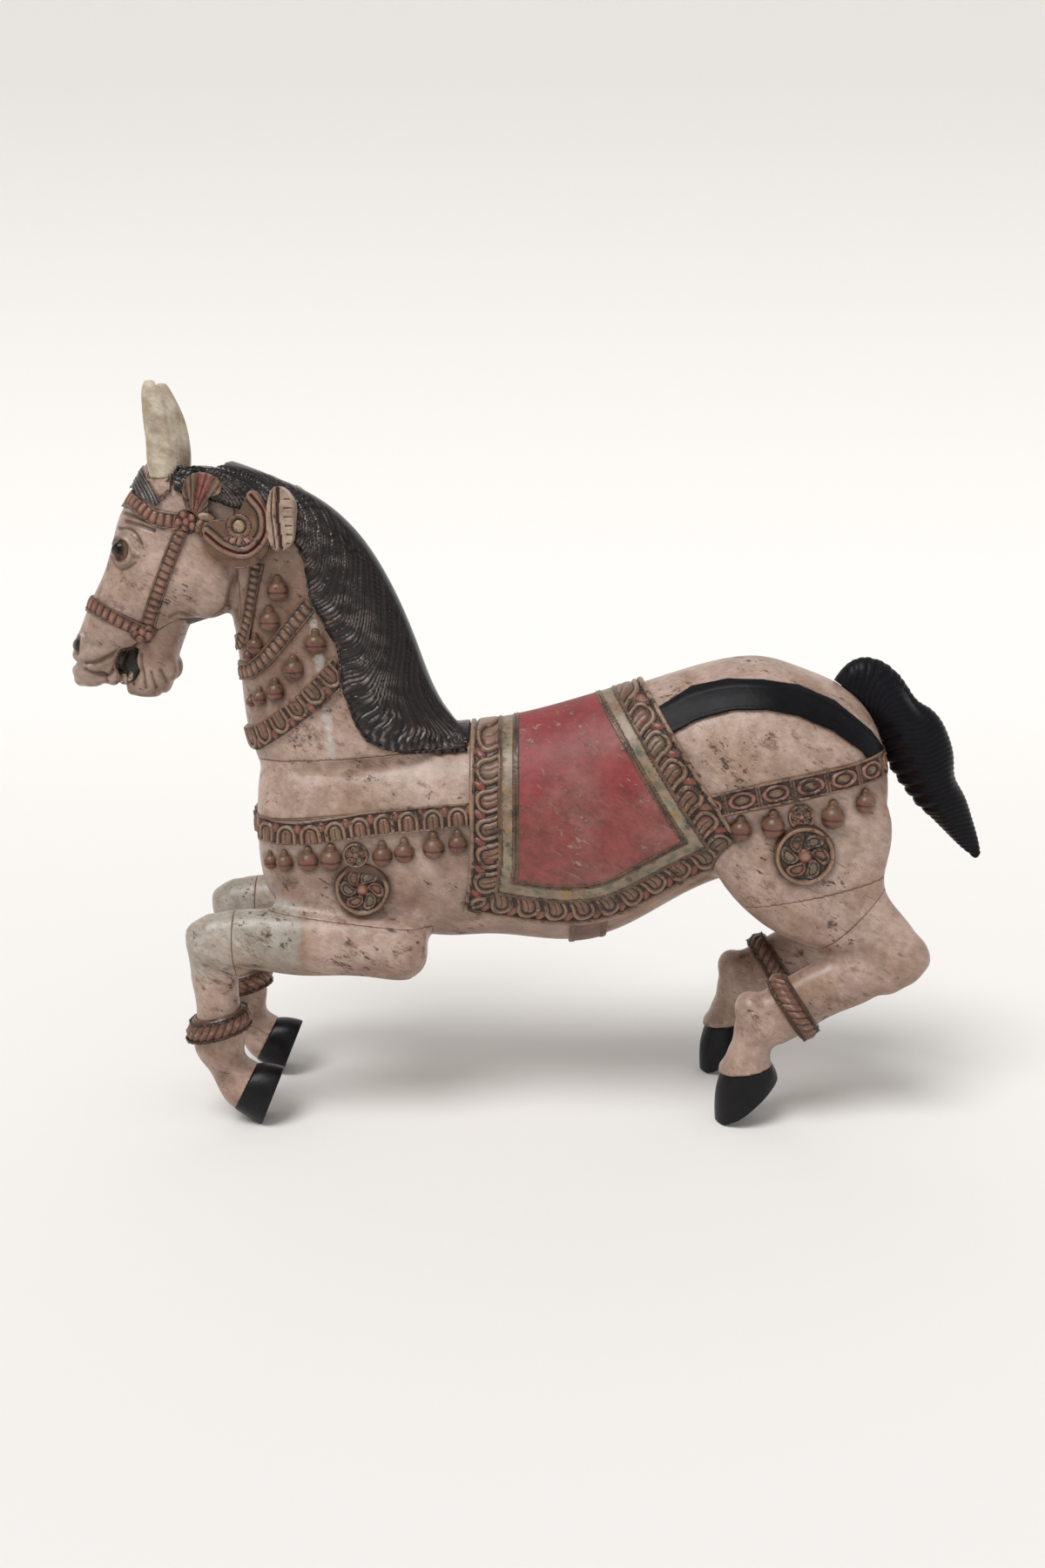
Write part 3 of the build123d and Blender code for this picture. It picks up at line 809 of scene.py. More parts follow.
@dataclass
class Skin:
    """The outside of the carved body, which the harness and the bells are laid on.

    Attributes:
        tree: search tree over the skin's triangles.
    """

    tree: Optional[BVHTree] = None

    def learn(self, verts: np.ndarray, faces: np.ndarray) -> None:
        """Takes the triangles of a finished skin."""
        self.tree = BVHTree.FromPolygons([tuple(v) for v in verts], [tuple(int(i) for i in f) for f in faces])

    def half_width(self, x: float, z: float) -> float:
        """Half width in mm of the body where a line across it at x and z leaves it, 0 if it misses."""
        hit = self.tree.ray_cast(Vector((x, -400, z)) * MM, Vector((0, 1, 0)))[0]
        return -hit.y / MM if hit is not None and hit.y < 0 else 0.0

    def height_over(self, places: np.ndarray) -> np.ndarray:
        """Signed distance in mm of places in metres from the skin, positive outside."""
        out = np.empty(len(places))
        for i, place in enumerate(places):
            at, normal, _, distance = self.tree.find_nearest(place)
            out[i] = distance if (Vector(place) - at).dot(normal) > 0 else -distance
        return out / MM


skin = Skin()


FORE_PASTERN = ((-498, 140), (-466, 58))
HIND_PASTERN = ((362, 170), (338, 92))


def squeeze(places: np.ndarray, start: tuple[float, float], end: tuple[float, float], at: float, reach: float,
            front: float, rear: float) -> np.ndarray:
    """Narrows a leg in the side view about a line down its middle.

    Args:
        places: (n, 3) places in metres.
        start: upper end of the line, mm.
        end: lower end of the line, mm.
        at: where along the line it is narrowest, 0 to 1.
        reach: how far along the line the waist reaches, as a share of its length.
        front: share taken off before the line.
        rear: share taken off behind it.

    Returns:
        The moved places.
    """
    x, z = places[:, 0] / MM, places[:, 2] / MM
    dx, dz = end[0] - start[0], end[1] - start[1]
    length = math.hypot(dx, dz)
    along = ((x - start[0]) * dx + (z - start[1]) * dz) / length
    across = ((x - start[0]) * -dz + (z - start[1]) * dx) / length
    waist = np.exp(-(((along / length - at) / reach) ** 2)) * (np.abs(across) < 70) * (np.abs(along) < 200)
    cut = across * waist * np.where(across > 0, rear, front)
    out = places.copy()
    out[:, 0] -= cut * -dz / length * MM
    out[:, 2] -= cut * dx / length * MM
    return out


MUSCLES = (
    ("shoulder", (-300, 78, 372), (105, 34, 60), 8),
    ("elbow", (-207, 96, 276), (42, 36, 41), -25),
    ("haunch", (395, 100, 470), (90, 42, 95), 10),
    ("hock", (564, 104, 282), (44, 37, 38), -40),
    ("hock_under", (560, 104, 251), (44, 34, 36), -38),
    ("hock_rear", (576, 104, 260), (41, 35, 36), 0),
    ("gaskin", (530, 104, 268), (44, 33, 34), -30),
    ("hind_fetlock", (350, 104, 178), (30, 33, 40), -25),
    ("hind_spur", (400, 104, 142), (13, 22, 20), 30),
    ("hind_heel", (372, 104, 106), (12, 26, 12), 0),
    ("hind_coronet", (330, 104, 92), (36, 37, 12), -8),
    ("fore_fetlock", (-508, 102, 116), (28, 33, 26), 20),
    ("fore_spur", (-466, 102, 124), (13, 22, 17), -30),
    ("fore_heel", (-450, 102, 92), (14, 26, 12), 0),
    ("fore_coronet", (-470, 102, 54), (16, 35, 34), -62),
    ("knee", (-508, 102, 300), (36, 40, 44), 0),
)
HOLLOWS = ((-480, 76, 18, 14, 5.0), (350, 135, 40, 12, 4.0), (404, 118, 14, 12, 4.0),
           (-470, 108, 16, 10, 4.0), (520, 290, 26, 20, 2.5))  # x, z, half width, half height and depth
WAISTS = (FORE_PASTERN + (0.5, 0.3, 0.12, 0.42), HIND_PASTERN + (0.5, 0.3, 0.12, 0.22))
SOFT_SPOTS = ((600, 262, 62), (-545, 330, 44), (-165, 262, 40), (-540, 270, 26))  # x, z and radius


@dataclass
class Carcass:
    """The jointed blocks of the body, carved as one skin and parted at the glue lines.

    Attributes:
        voxel: grain of the body's skin in metres.
        fillet: radius of the fillets between the forms, in metres.
        seam: how far the two sides of a glue line are drawn in, in metres.
    """

    voxel: float = 4.4 * MM
    fillet: float = 12.0 * MM
    seam: float = 0.7 * MM

    NODES = ("trunk", "neck", "head", "foreleg_upper_left", "foreleg_upper_right", "foreleg_lower_left",
             "foreleg_lower_right", "fore_hoof_left", "fore_hoof_right", "hind_thigh_left",
             "hind_thigh_right", "hind_lower_left", "hind_lower_right", "hind_hoof_left", "hind_hoof_right")

    def build(self) -> None:
        """Makes the body's skin, carves it and parts it."""
        clay = merged_copy("clay", self.NODES)
        join(clay, paired_balls(MUSCLES))
        close_clefts(clay, self.fillet, self.voxel)
        self.carve(clay)
        cut_lines(clay, self.cuts())
        skin.learn(vert_array(clay), triangles(clay))
        self.part(clay)
        self.hooves()

    def carve(self, clay: bpy.types.Object) -> None:
        """Presses the shallow hollows between the muscles into the skin."""
        places, normals = vert_array(clay), normal_array(clay)
        p = places / MM
        depth = np.zeros(len(p))
        for x, z, width, height, deep in HOLLOWS:
            depth += deep * dent(p[:, 0], p[:, 2], (x, z), (width, height))
        low = p[:, 2] < 340
        places -= normals * (np.where(low, depth, 0.0) * MM)[:, None]
        for waist in WAISTS:
            places = squeeze(places, *waist)
        soft = spread(places, edge_array(clay), 36)
        p = places / MM
        share = np.zeros(len(p))
        for x, z, radius in SOFT_SPOTS:
            gap = np.hypot(p[:, 0] - x, p[:, 2] - z) / radius
            share = np.maximum(share, smoothstep(1.0, 0.55, gap) * (np.abs(p[:, 1]) > 50))
        set_verts(clay, places + (soft - places) * share[:, None])

    def cuts(self) -> list[tuple]:
        """The planes of the glue lines, each with the box in which it cuts."""
        return [
            line_cut((-500, 573), (-102, 604), (-520, 540), (-92, 640)),
            line_cut((-102, 600), (-102, 700), (-115, 596), (-90, 660)),
            line_cut((-452, 800), (-452, 900), (-490, 790), (-420, TALL)),
            line_cut((-480, 780), (-452, 800), (-500, 760), (-430, 815)),
            line_cut(*ARM_SEAM, (-620, 290), (-140, 400)),
            ((0, LEG_Y, 0), (0, 1, 0), (-460, 30, 200), (-130, 90, 360)),
            ((0, -LEG_Y, 0), (0, 1, 0), (-460, -90, 200), (-130, -30, 360)),
            line_cut((ARM_END, 0), (ARM_END, 100), (ARM_END - 20, 200), (ARM_END + 20, 340)),
            line_cut((KNEE_X, 0), (KNEE_X, 100), (KNEE_X - 20, 225), (KNEE_X + 20, 380)),
            line_cut((-600, 243), (-300, 243), (-500, 220), (-380, 260)),
            line_cut(*FORE_HOOF_SEAM, (-520, 0), (-400, 120)),
            line_cut(*THIGH_SEAM, (240, 320), (660, 450)),
            line_cut(*SHANK_SEAM, (400, 240), (580, 420)),
            line_cut((200, 265), (420, 265), (360, 250), (440, 280)),
            line_cut(*HIND_HOOF_SEAM, (280, 72), (420, 115)),
        ]

    def part(self, clay: bpy.types.Object) -> None:
        """Parts the skin into blocks and closes each of them."""
        verts, faces = vert_array(clay), triangles(clay)
        centres = verts[faces].mean(axis=1) / MM
        kinds = classify(centres)
        bpy.data.objects.remove(clay)
        names = {
            Block.TRUNK: "trunk", Block.NECK: "neck", Block.FORE_UPPER: "foreleg_upper",
            Block.FORE_LOWER: "foreleg_lower", Block.THIGH: "hind_thigh", Block.HIND_LOWER: "hind_lower",
        }
        for block, name in names.items():
            sides = (("", 0.0),) if block in (Block.TRUNK, Block.NECK) else (("_left", -1.0), ("_right", 1.0))
            for suffix, side in sides:
                mine = kinds == block.value
                if side:
                    mine &= centres[:, 1] * side > 0
                piece, rim, _ = cut_block(f"wood_{name}{suffix}", verts, faces[mine], self.seam)
                self.finish(piece, name + suffix, rim)

    def finish(self, piece: bpy.types.Object, node: str, rim: np.ndarray) -> None:
        """Colours one block by zones and hands it to the frame.

        Args:
            piece: the block.
            node: the frame node that it replaces.
            rim: marks of the vertices on its glue lines.
        """
        store_cavity(piece, 5, 0.6, rim)
        p = vert_array(piece) / MM
        set_tint(piece, "tint", body_tint(p, normal_array(piece)))
        finish_piece(piece, [node], CREAM)

    def hooves(self) -> None:
        """The hooves keep the crisp edges of their frame nodes."""
        for end in ("fore", "hind"):
            for suffix in ("left", "right"):
                node = f"{end}_hoof_{suffix}"
                item = merged_copy("wood_" + node, [node])
                remesh(item, 2.2 * MM, 1)
                if end == "hind":
                    self.trim_sole(item)
                store_cavity(item, 2, 0.6)
                finish_piece(item, [node], BLACK)

    @staticmethod
    def trim_sole(item: bpy.types.Object) -> None:
        """Flattens the sole of a hind hoof from toe to heel and lowers the front of its crown."""
        places = vert_array(item)
        toe, down_and_back = (0.309, 0, 0), (0.669, 0, -0.743)
        over = np.maximum((places - toe) @ down_and_back, 0)
        places -= (over * 0.92)[:, None] * down_and_back
        front = np.clip((0.38 - places[:, 0]) / 0.08, 0, 1)
        places[:, 2] -= front * smoothstep(0.03, 0.096, places[:, 2]) * 0.013
        set_verts(item, places)


FILLER_CRACK = ((-339, 815), (-329, 751), (-322, 684), (-310, 588))
BREAST_BELLS = ((-410, 427, 12), (-386, 429, 14), (-348, 434, 16), (-312, 438, 17), (-233, 444, 16),
                (-199, 450, 16), (-154, 458, 17), (-117, 465, 15))
BREECHING_BELLS = ((314, 486, 17), (362, 494, 18), (452, 509, 18), (503, 528, 15))
NECK_BELLS = ((-389, 844, 16), (-404, 798, 16), (-429, 759, 13), (-443, 742, 9), (-333, 764, 16),
              (-368, 724, 16), (-398, 690, 14), (-425, 678, 12), (-442, 670, 8))
ROUNDELS = ((-266, 390, 44), (410, 452, 48))
BELL_SPOTS = [spot for spot in BREAST_BELLS + BREECHING_BELLS + NECK_BELLS + ROUNDELS if spot[2] > 10]


def body_tint(p: np.ndarray, normals: np.ndarray) -> np.ndarray:
    """The painted colour of the body: cream, with painted shade on the surfaces that face down and round the
    bells and roundels, browner on the neck and lower legs, grey-green at the knees.

    Args:
        p: (n, 3) places in mm.
        normals: (n, 3) normals.

    Returns:
        (n, 3) linear colours.
    """
    cream, rose = tone("#b59d90"), tone("#9c7d6a")
    brown, green = tone("#7d5c48"), tone("#a8a59b")
    x, y, z = p.T
    colour = blend(cream, rose, smoothstep(-0.2, 0.9, wave_noise(p * MM, 0.19, 2.0)) * 0.7)
    repaint = smoothstep(-357, -366, x + 4 * np.sin(z / 9))
    repaint *= smoothstep(238, 262, z) * smoothstep(372, 360, z)
    colour = blend(colour, green, repaint * np.where(np.abs(y) > LEG_Y - 6, 0.85, 0.0))
    # painted shade: surfaces that face down are blended towards brown
    under = smoothstep(0.15, -0.85, normals[:, 2])
    colour = blend(colour, brown, under * 0.6)
    neck = smoothstep(618, 650, z + (x + 436) * -0.62) * (z < 905) * smoothstep(-478, -455, x) * (x < -250)
    colour = blend(colour, brown, neck * 0.62)
    shin = smoothstep(262, 225, z)
    colour = blend(colour, brown, shin * 0.42 * (0.6 + 0.4 * wave_noise(p * MM, 0.06, 3.0)))
    # painted shade: a dark brown ring on the body round each bell and roundel, where it meets the body
    contact_shade = np.zeros(len(p))
    for bx, bz, radius in BELL_SPOTS:
        contact_shade = np.maximum(contact_shade, smoothstep(9.0, 1.0, np.hypot(x - bx, z - bz) - radius))
    colour = blend(colour, tone("#4a3226"), contact_shade * 0.62 * (np.abs(y) > 20))
    crack, _, _ = path_distance(x, z, curve_through(FILLER_CRACK, 20))
    wobble = 2.2 * np.sin(z / 7.0) + 1.4 * np.sin(z / 2.9)
    white = smoothstep(7.5, 2.5, crack + wobble) * (y < 0)
    colour = blend(colour, tone("#c9c6c0"), white * 0.85)
    return colour


def dent(u: np.ndarray, v: np.ndarray, at: Sequence[float], size: Sequence[float],
         powers: tuple[int, int] = (2, 2)) -> np.ndarray:
    """A soft spot that is 1 in its middle and fades outwards.

    Args:
        u: first coordinates.
        v: second coordinates.
        at: its middle.
        size: its half width and half height.
        powers: for each direction 2 for an even fade, or 4 for a flatter spot with a steeper edge.

    Returns:
        0 to 1, shaped like u.
    """
    return np.exp(-(((u - at[0]) / size[0]) ** powers[0] + ((v - at[1]) / size[1]) ** powers[1]))


def path_distance(x: np.ndarray, z: np.ndarray,
                  path: np.ndarray) -> tuple[np.ndarray, np.ndarray, np.ndarray]:
    """Distance of side-view points from a line of points, how far along it they lie and on which side.

    Args:
        x: first coordinates.
        z: second coordinates.
        path: line of points (n, 2).

    Returns:
        Distance, arc length at the nearest point, and sign: positive to the left of the line.
    """
    best = np.full(len(x), 1e9)
    along, sign, run = np.zeros(len(x)), np.ones(len(x)), 0.0
    for (x1, z1), (x2, z2) in zip(path, path[1:]):
        dx, dz = x2 - x1, z2 - z1
        length = max(math.hypot(dx, dz), 1e-9)
        t = np.clip(((x - x1) * dx + (z - z1) * dz) / length**2, 0, 1)
        gap = np.hypot(x - x1 - t * dx, z - z1 - t * dz)
        nearer = gap < best
        best = np.where(nearer, gap, best)
        along = np.where(nearer, run + t * length, along)
        sign = np.where(nearer, np.sign(dx * (z - z1) - dz * (x - x1)), sign)
        run += length
    return best, along, sign


# ------------------------------------------------------------------------------ the head
JAW_ZONE = ((-548, 800), (-604, 770), (-648, 738), (-660, 640), (-480, 640), (-480, 800))


@dataclass(frozen=True)
class Stroke:
    """One pull of the gouge along a side-view line.

    Attributes:
        line: points in mm.
        width: half width of the mark, mm.
        depth: how deep it cuts, mm; negative leaves a ridge.
        grime_and_shade: how much brown settles in it, 0 to 1.
    """

    line: Points
    width: float
    depth: float
    grime_and_shade: float = 0.5


STROKES = (
    Stroke(((-628, 960), (-606, 955), (-583, 949), (-559, 941)), 3.6, 3.4, 1.0),
    Stroke(((-624, 948), (-600, 943), (-574, 935)), 3.4, 3.0, 0.9),
    Stroke(((-612, 960), (-590, 953), (-562, 947)), 3.0, -1.2, 0.0),
    Stroke(((-634, 936), (-619, 937), (-604, 929), (-595, 914)), 3.4, 2.4, 0.8),
    Stroke(((-647, 912), (-640, 922), (-628, 923), (-617, 915), (-609, 902), (-601, 897)), 3.2, -3.2, 0.4),
    Stroke(((-646, 898), (-637, 886), (-626, 883), (-615, 888), (-608, 900)), 3.2, -2.8, 0.4),
    Stroke(((-650, 893), (-640, 879), (-624, 876), (-606, 886)), 3.0, 1.4, 0.55),
    Stroke(((-696, 730), (-679, 731), (-663, 738), (-645, 747)), 4.0, 3.4, 0.75),
    Stroke(((-698, 720), (-684, 713), (-664, 711), (-654, 722)), 3.5, 3.0, 0.7),
    Stroke(((-672, 712), (-668, 700)), 3.0, 2.2, 0.6),
    Stroke(((-612, 744), (-611, 718), (-607, 690)), 3.2, 2.6, 0.6),
    Stroke(((-597, 715), (-590, 688)), 3.0, 2.0, 0.5),
    Stroke(((-582, 718), (-576, 698)), 3.0, 1.8, 0.5),
    Stroke(((-449, 892), (-461, 850), (-472, 817), (-492, 801)), 5.0, 3.2, 0.8),
    Stroke(((-559, 801), (-543, 808), (-524, 797)), 4.0, 2.4, 0.6),
    Stroke(((-606, 766), (-625, 752), (-636, 748)), 2.2, 1.6, 0.7),
    Stroke(((-700, 775), (-688, 760), (-672, 757)), 6.0, 2.0, 0.2),
    Stroke(((-560, 830), (-575, 870), (-590, 900)), 16.0, 1.6, 0.0),
)


SWELLINGS = (
    ("cheek", (-505, 33, 855), (52, 32, 56), 0),
    ("nostril", (-703, 24, 758), (17, 15, 22), 20),
    ("brow_ridge", (-616, 38, 931), (22, 12, 8), 24),
    ("lip_fold", (-690, 18, 722), (28, 16, 10), 15),
    ("lip_curl", (-712, 12, 703), (12, 14, 13), 0),
    ("lip_hem", (-690, 20, 702), (26, 12, 11), 5),
    ("lip_corner", (-662, 24, 709), (13, 9, 17), -25),
    ("lower_lip", (-632, 12, 690), (10, 11, 14), 10),
    ("chin", (-601, 12, 699), (16, 16, 22), 0),
    ("jaw_lobe", (-575, 16, 719), (17, 16, 22), 0),
    ("mouth_side", (-606, 26, 735), (14, 9, 22), 10),
)
MOUTH_DENTS = (((-722, 728), (16, 6.5), 9.0), ((-676, 690), (7, 9), 4.0), ((-588, 680), (5, 14), 4.0))
# darker spots: painted shade in the mouth slit, and a dark joint where head, jaw and neck meet
GRIME_AND_SHADE_SPOTS = (((-716, 728), (12, 6), 0.6), ((-500, 800), (50, 14), 0.25))  # middle, half sizes and share


@dataclass
class Head:
    """The head and the fixed lower jaw, with eyes, ears and teeth.

    Attributes:
        voxel: grain of the skin in metres.
        seam: how far the two sides of a glue line are drawn in, in metres.
    """

    voxel: float = 2.0 * MM
    seam: float = 0.6 * MM

    def build(self) -> None:
        """Models, carves and parts the head, then adds eyes, ears and teeth."""
        clay = merged_copy("head_clay", ("head", "lower_jaw", "neck"))
        join(clay, paired_balls(SWELLINGS) + [clay_ball("inner_mouth", (-632, 0, 724), (19, 16, 30))])
        close_clefts(clay, 4.5 * MM, self.voxel)
        grime_and_shade = self.carve(clay)
        set_tint(clay, "grime_and_shade", grime_and_shade)
        cut_lines(clay, [
            line_cut((-452, 800), (-452, 900), (-500, 790), (-420, TALL)),
            line_cut((-480, 780), (-452, 800), (-500, 740), (-430, 815)),
            line_cut((-480, 600), (-480, 780), (-500, 600), (-460, 782)),
            line_cut((-548, 800), (-604, 770), (-625, 740), (-520, 830)),
            line_cut((-604, 770), (-648, 738), (-670, 715), (-590, 790)),
            line_cut((-480, 800), (-548, 800), (-560, 785), (-470, 815)),
        ])
        self.part(clay)
        self.eyes()
        self.ears()
        self.teeth()

    def carve(self, clay: bpy.types.Object) -> np.ndarray:
        """Cuts the strokes, nostrils and eye sockets, and returns where grime settles and where shade is
        painted into the mouth and nostrils.
        """
        places, normals = vert_array(clay), normal_array(clay)
        p = places / MM
        x, y, z = p.T
        flank = smoothstep(0.15, 0.6, np.abs(normals[:, 1]))
        depth, grime_and_shade = np.zeros(len(p)), np.zeros(len(p))
        for stroke in STROKES:
            d, s, _ = path_distance(x, z, curve_through(stroke.line, 24))
            mark = np.exp(-((d / stroke.width) ** 2))
            depth += mark * stroke.depth * 1.35 * flank
            grime_and_shade = np.maximum(grime_and_shade, np.exp(-((d / (stroke.width * 0.9)) ** 2)) * stroke.grime_and_shade * 1.25 * flank)
        socket = dent(x, z, (-627, 903), (19, 17), (4, 4))
        nostril = dent(x - (z - 758) * 0.12, z, (-712, 757), (6.5, 15), (4, 4)) * (np.abs(y) > 12)
        depth += socket * 3.0 * flank + nostril * 7.0
        # painted shade: the nostrils and the inside of the mouth are marked to go near black
        grime_and_shade = np.maximum(grime_and_shade, nostril * 1.6)
        inside_mouth = smoothstep(27, 18, np.hypot(x + 632, (z - 724) * 0.8)) * smoothstep(24, 19, np.abs(y))
        grime_and_shade = np.maximum(grime_and_shade, inside_mouth * 1.5)
        for at, size, deep in MOUTH_DENTS:
            depth += deep * dent(x, z, at, size)
        for at, size, share in GRIME_AND_SHADE_SPOTS:
            grime_and_shade = np.maximum(grime_and_shade, share * dent(x, z, at, size))
        set_verts(clay, places - normals * (depth * MM)[:, None])
        return grime_and_shade

    def part(self, clay: bpy.types.Object) -> None:
        """Parts the clay into head and lower jaw at their glue line."""
        verts, faces = vert_array(clay), triangles(clay)
        grime_and_shade = np.empty(len(verts), dtype=np.float32)
        clay.data.attributes["grime_and_shade"].data.foreach_get("value", grime_and_shade)
        centres = verts[faces].mean(axis=1) / MM
        in_head = inside(centres[:, 0], centres[:, 2], HEAD_ZONE)
        in_jaw = in_head & inside(centres[:, 0], centres[:, 2], JAW_ZONE)
        bpy.data.objects.remove(clay)
        for name, mine in (("head", in_head & ~in_jaw), ("lower_jaw", in_jaw)):
            piece, rim, used = cut_block(f"wood_{name}", verts, faces[mine], self.seam)
            store_cavity(piece, 4, 0.9, rim)
            p = vert_array(piece) / MM
            full = np.zeros(len(p))
            full[:len(used)] = grime_and_shade[used]
            tint = body_tint(p, normal_array(piece))
            # painted highlight: a broad lighter patch over the rounded cheek, a little darker around it
            cheek = dent(p[:, 0], p[:, 2], (-535, 868), (62, 62))
            tint = tint * (0.92 + 0.36 * cheek)[:, None]
            # brown grime in the strokes and at the joint, brown painted shade in the mouth slit; near black
            # for the deepest strokes and, as painted shade, inside the mouth and nostrils
            share = np.clip(full, 0, 1) * 0.85
            tint = blend(tint, tone("#3f2a20"), share)
            tint = blend(tint, tone("#120d0b"), smoothstep(1.0, 1.4, full))
            set_tint(piece, "tint", tint)
            finish_piece(piece, [name], CREAM)

    def eyes(self) -> None:
        """Eyeballs with a dark pupil set forward."""
        made = []
        for side in SIDES:
            ball = clay_ball("carved_eyes", (-630, side * 42, 903), (16, 13, 15))
            p = vert_array(ball) / MM
            pupil = np.hypot((p[:, 0] + 636) / 12.5, (p[:, 2] - 905) / 14.0)
            colour = blend(tone("#7b6250"), tone("#33211a"), smoothstep(1.2, 0.95, pupil))
            colour = blend(colour, tone("#0c0a0a"), smoothstep(0.85, 0.7, pupil))
            set_tint(ball, "tint", colour)
            made.append(ball)
        join(made[0], made[1:])
        store_cavity(made[0], 2, 0.2)
        finish_piece(made[0], ["eyes"], EYE_PAINT)

    def ears(self) -> None:
        """Long upright ears, a little hollow at the front."""
        for side, suffix in zip(SIDES, ("left", "right")):
            item = merged_copy(f"carved_ear_{suffix}", [f"ear_{suffix}"])
            remesh(item, 2.0 * MM, 4)
            places, normals = vert_array(item), normal_array(item)
            p = places / MM
            hollow = dent(p[:, 1], p[:, 2], (side * 40, 1092), (7, 42), (2, 4))
            hollow *= smoothstep(0.1, 0.6, -normals[:, 0])
            line = np.exp(-(((p[:, 0] + 549 + (p[:, 2] - 1090) * 0.12) / 2.5) ** 2))
            line *= smoothstep(1150, 1120, p[:, 2]) * smoothstep(0.1, 0.5, np.abs(normals[:, 1]))
            set_verts(item, places - normals * ((hollow * 5.0 + line * 0.8) * MM)[:, None])
            colour = blend(tone("#d4cab8"), tone("#b8a890"),
                           smoothstep(-0.3, 0.9, wave_noise(places, 0.09, 5.0)))
            # painted shade: the hollow at the front of the ear and its groove are darkened brown
            colour = blend(colour, tone("#4a3a2c"), np.clip(hollow + line * 0.4, 0, 1) * 0.45)
            set_tint(item, "tint", colour)
            store_cavity(item, 3, 0.8)
            finish_piece(item, [f"ear_{suffix}"], EAR_PAINT)

    def teeth(self) -> None:
        """Short pegs of teeth in the upper and the lower jaw."""
        rows = {
            "upper_teeth": [(-668, 704, 12), (-658, 702, 12), (-665, 712, -12)],
            "lower_teeth": [(-643, 702, 8), (-634, 706, 8)],
        }
        for node, spots in rows.items():
            made = []
            for x, z, lean in spots:
                for side in SIDES:
                    deselect()
                    bpy.ops.mesh.primitive_cube_add(size=1.0, location=(x * MM, side * 13 * MM, z * MM),
                                                    rotation=(0, math.radians(lean), 0))
                    tooth = bpy.context.active_object
                    tooth.scale = (8 * MM, 10 * MM, 17 * MM)
                    bpy.ops.object.transform_apply(location=True, rotation=True, scale=True)
                    rounded = tooth.modifiers.new("rounded", "BEVEL")
                    rounded.width, rounded.segments = 2.4 * MM, 3
                    apply_modifiers(tooth)
                    made.append(tooth)
            join(made[0], made[1:])
            made[0].name = "carved_" + node
            store_cavity(made[0], 1, 0.2)
            finish_piece(made[0], [node], TOOTH, 40.0)


# ------------------------------------------------------------------------------ carved relief
@dataclass(frozen=True)
class Palette:
    """The ornament colours, linear RGB.

    Attributes:
        ochre: gold-brown of the raised carving.
        pale: worn cream; on the highest edges it is both worn paint and painted highlight.
        red: red accents.
        orange: orange accents.
        green: green accents.
        blue: turquoise accents.
        dark: brown in the grooves.
    """

    ochre: tuple = tone("#765945")
    pale: tuple = tone("#b79b86")
    red: tuple = tone("#873536")
    orange: tuple = tone("#8f4f32")
    green: tuple = tone("#616a4e")
    blue: tuple = tone("#6a8480")
    dark: tuple = tone("#402b1e")


INK = Palette()
Pattern = Callable[[np.ndarray, np.ndarray], tuple[np.ndarray, np.ndarray]]


def blend(first, second, share: np.ndarray) -> np.ndarray:
    """Mixes two colours, or two colour arrays, by a share per vertex."""
    a, b = np.atleast_2d(np.array(first)), np.atleast_2d(np.array(second))
    return a * (1 - share[:, None]) + b * share[:, None]


def grooved(height: np.ndarray, colour: np.ndarray) -> tuple[np.ndarray, np.ndarray]:
    """Darkens a pattern's colours in its grooves and pales its highest edges, as worn paint and painted
    highlight.
    """
    deep = smoothstep(0.62, 0.15, height)
    # worn cream and painted highlight on the highest edges
    high = smoothstep(0.78, 1.0, height) * 0.45
    return height, blend(blend(colour, INK.pale, high), INK.dark, deep * 0.85)


def swap(colour: np.ndarray, where: np.ndarray, other) -> np.ndarray:
    """Puts another colour where a mark is set."""
    return np.where(where[:, None], np.array(other), colour)


def railed(height: np.ndarray, colour: np.ndarray, t: np.ndarray, rail: float,
           share: float = 0.95) -> tuple[np.ndarray, np.ndarray]:
    """Lays two rails along a band's pattern and shades its grooves."""
    in_rail = 1 - np.abs(t) < rail
    height = np.where(in_rail, rails(t, rail) * share, height)
    return grooved(height, swap(colour, in_rail, INK.ochre))


def wrap(value: np.ndarray, pitch: float) -> np.ndarray:
    """Position within a repeat, -0.5 to 0.5."""
    return value / pitch - np.floor(value / pitch) - 0.5


def rails(t: np.ndarray, width: float) -> np.ndarray:
    """Two raised rails along the edges of a band whose t runs from -1 to 1."""
    edge = 1 - np.abs(t)
    return np.where(edge < width, bump(edge, width * 0.5, width * 1.15), 0.0)


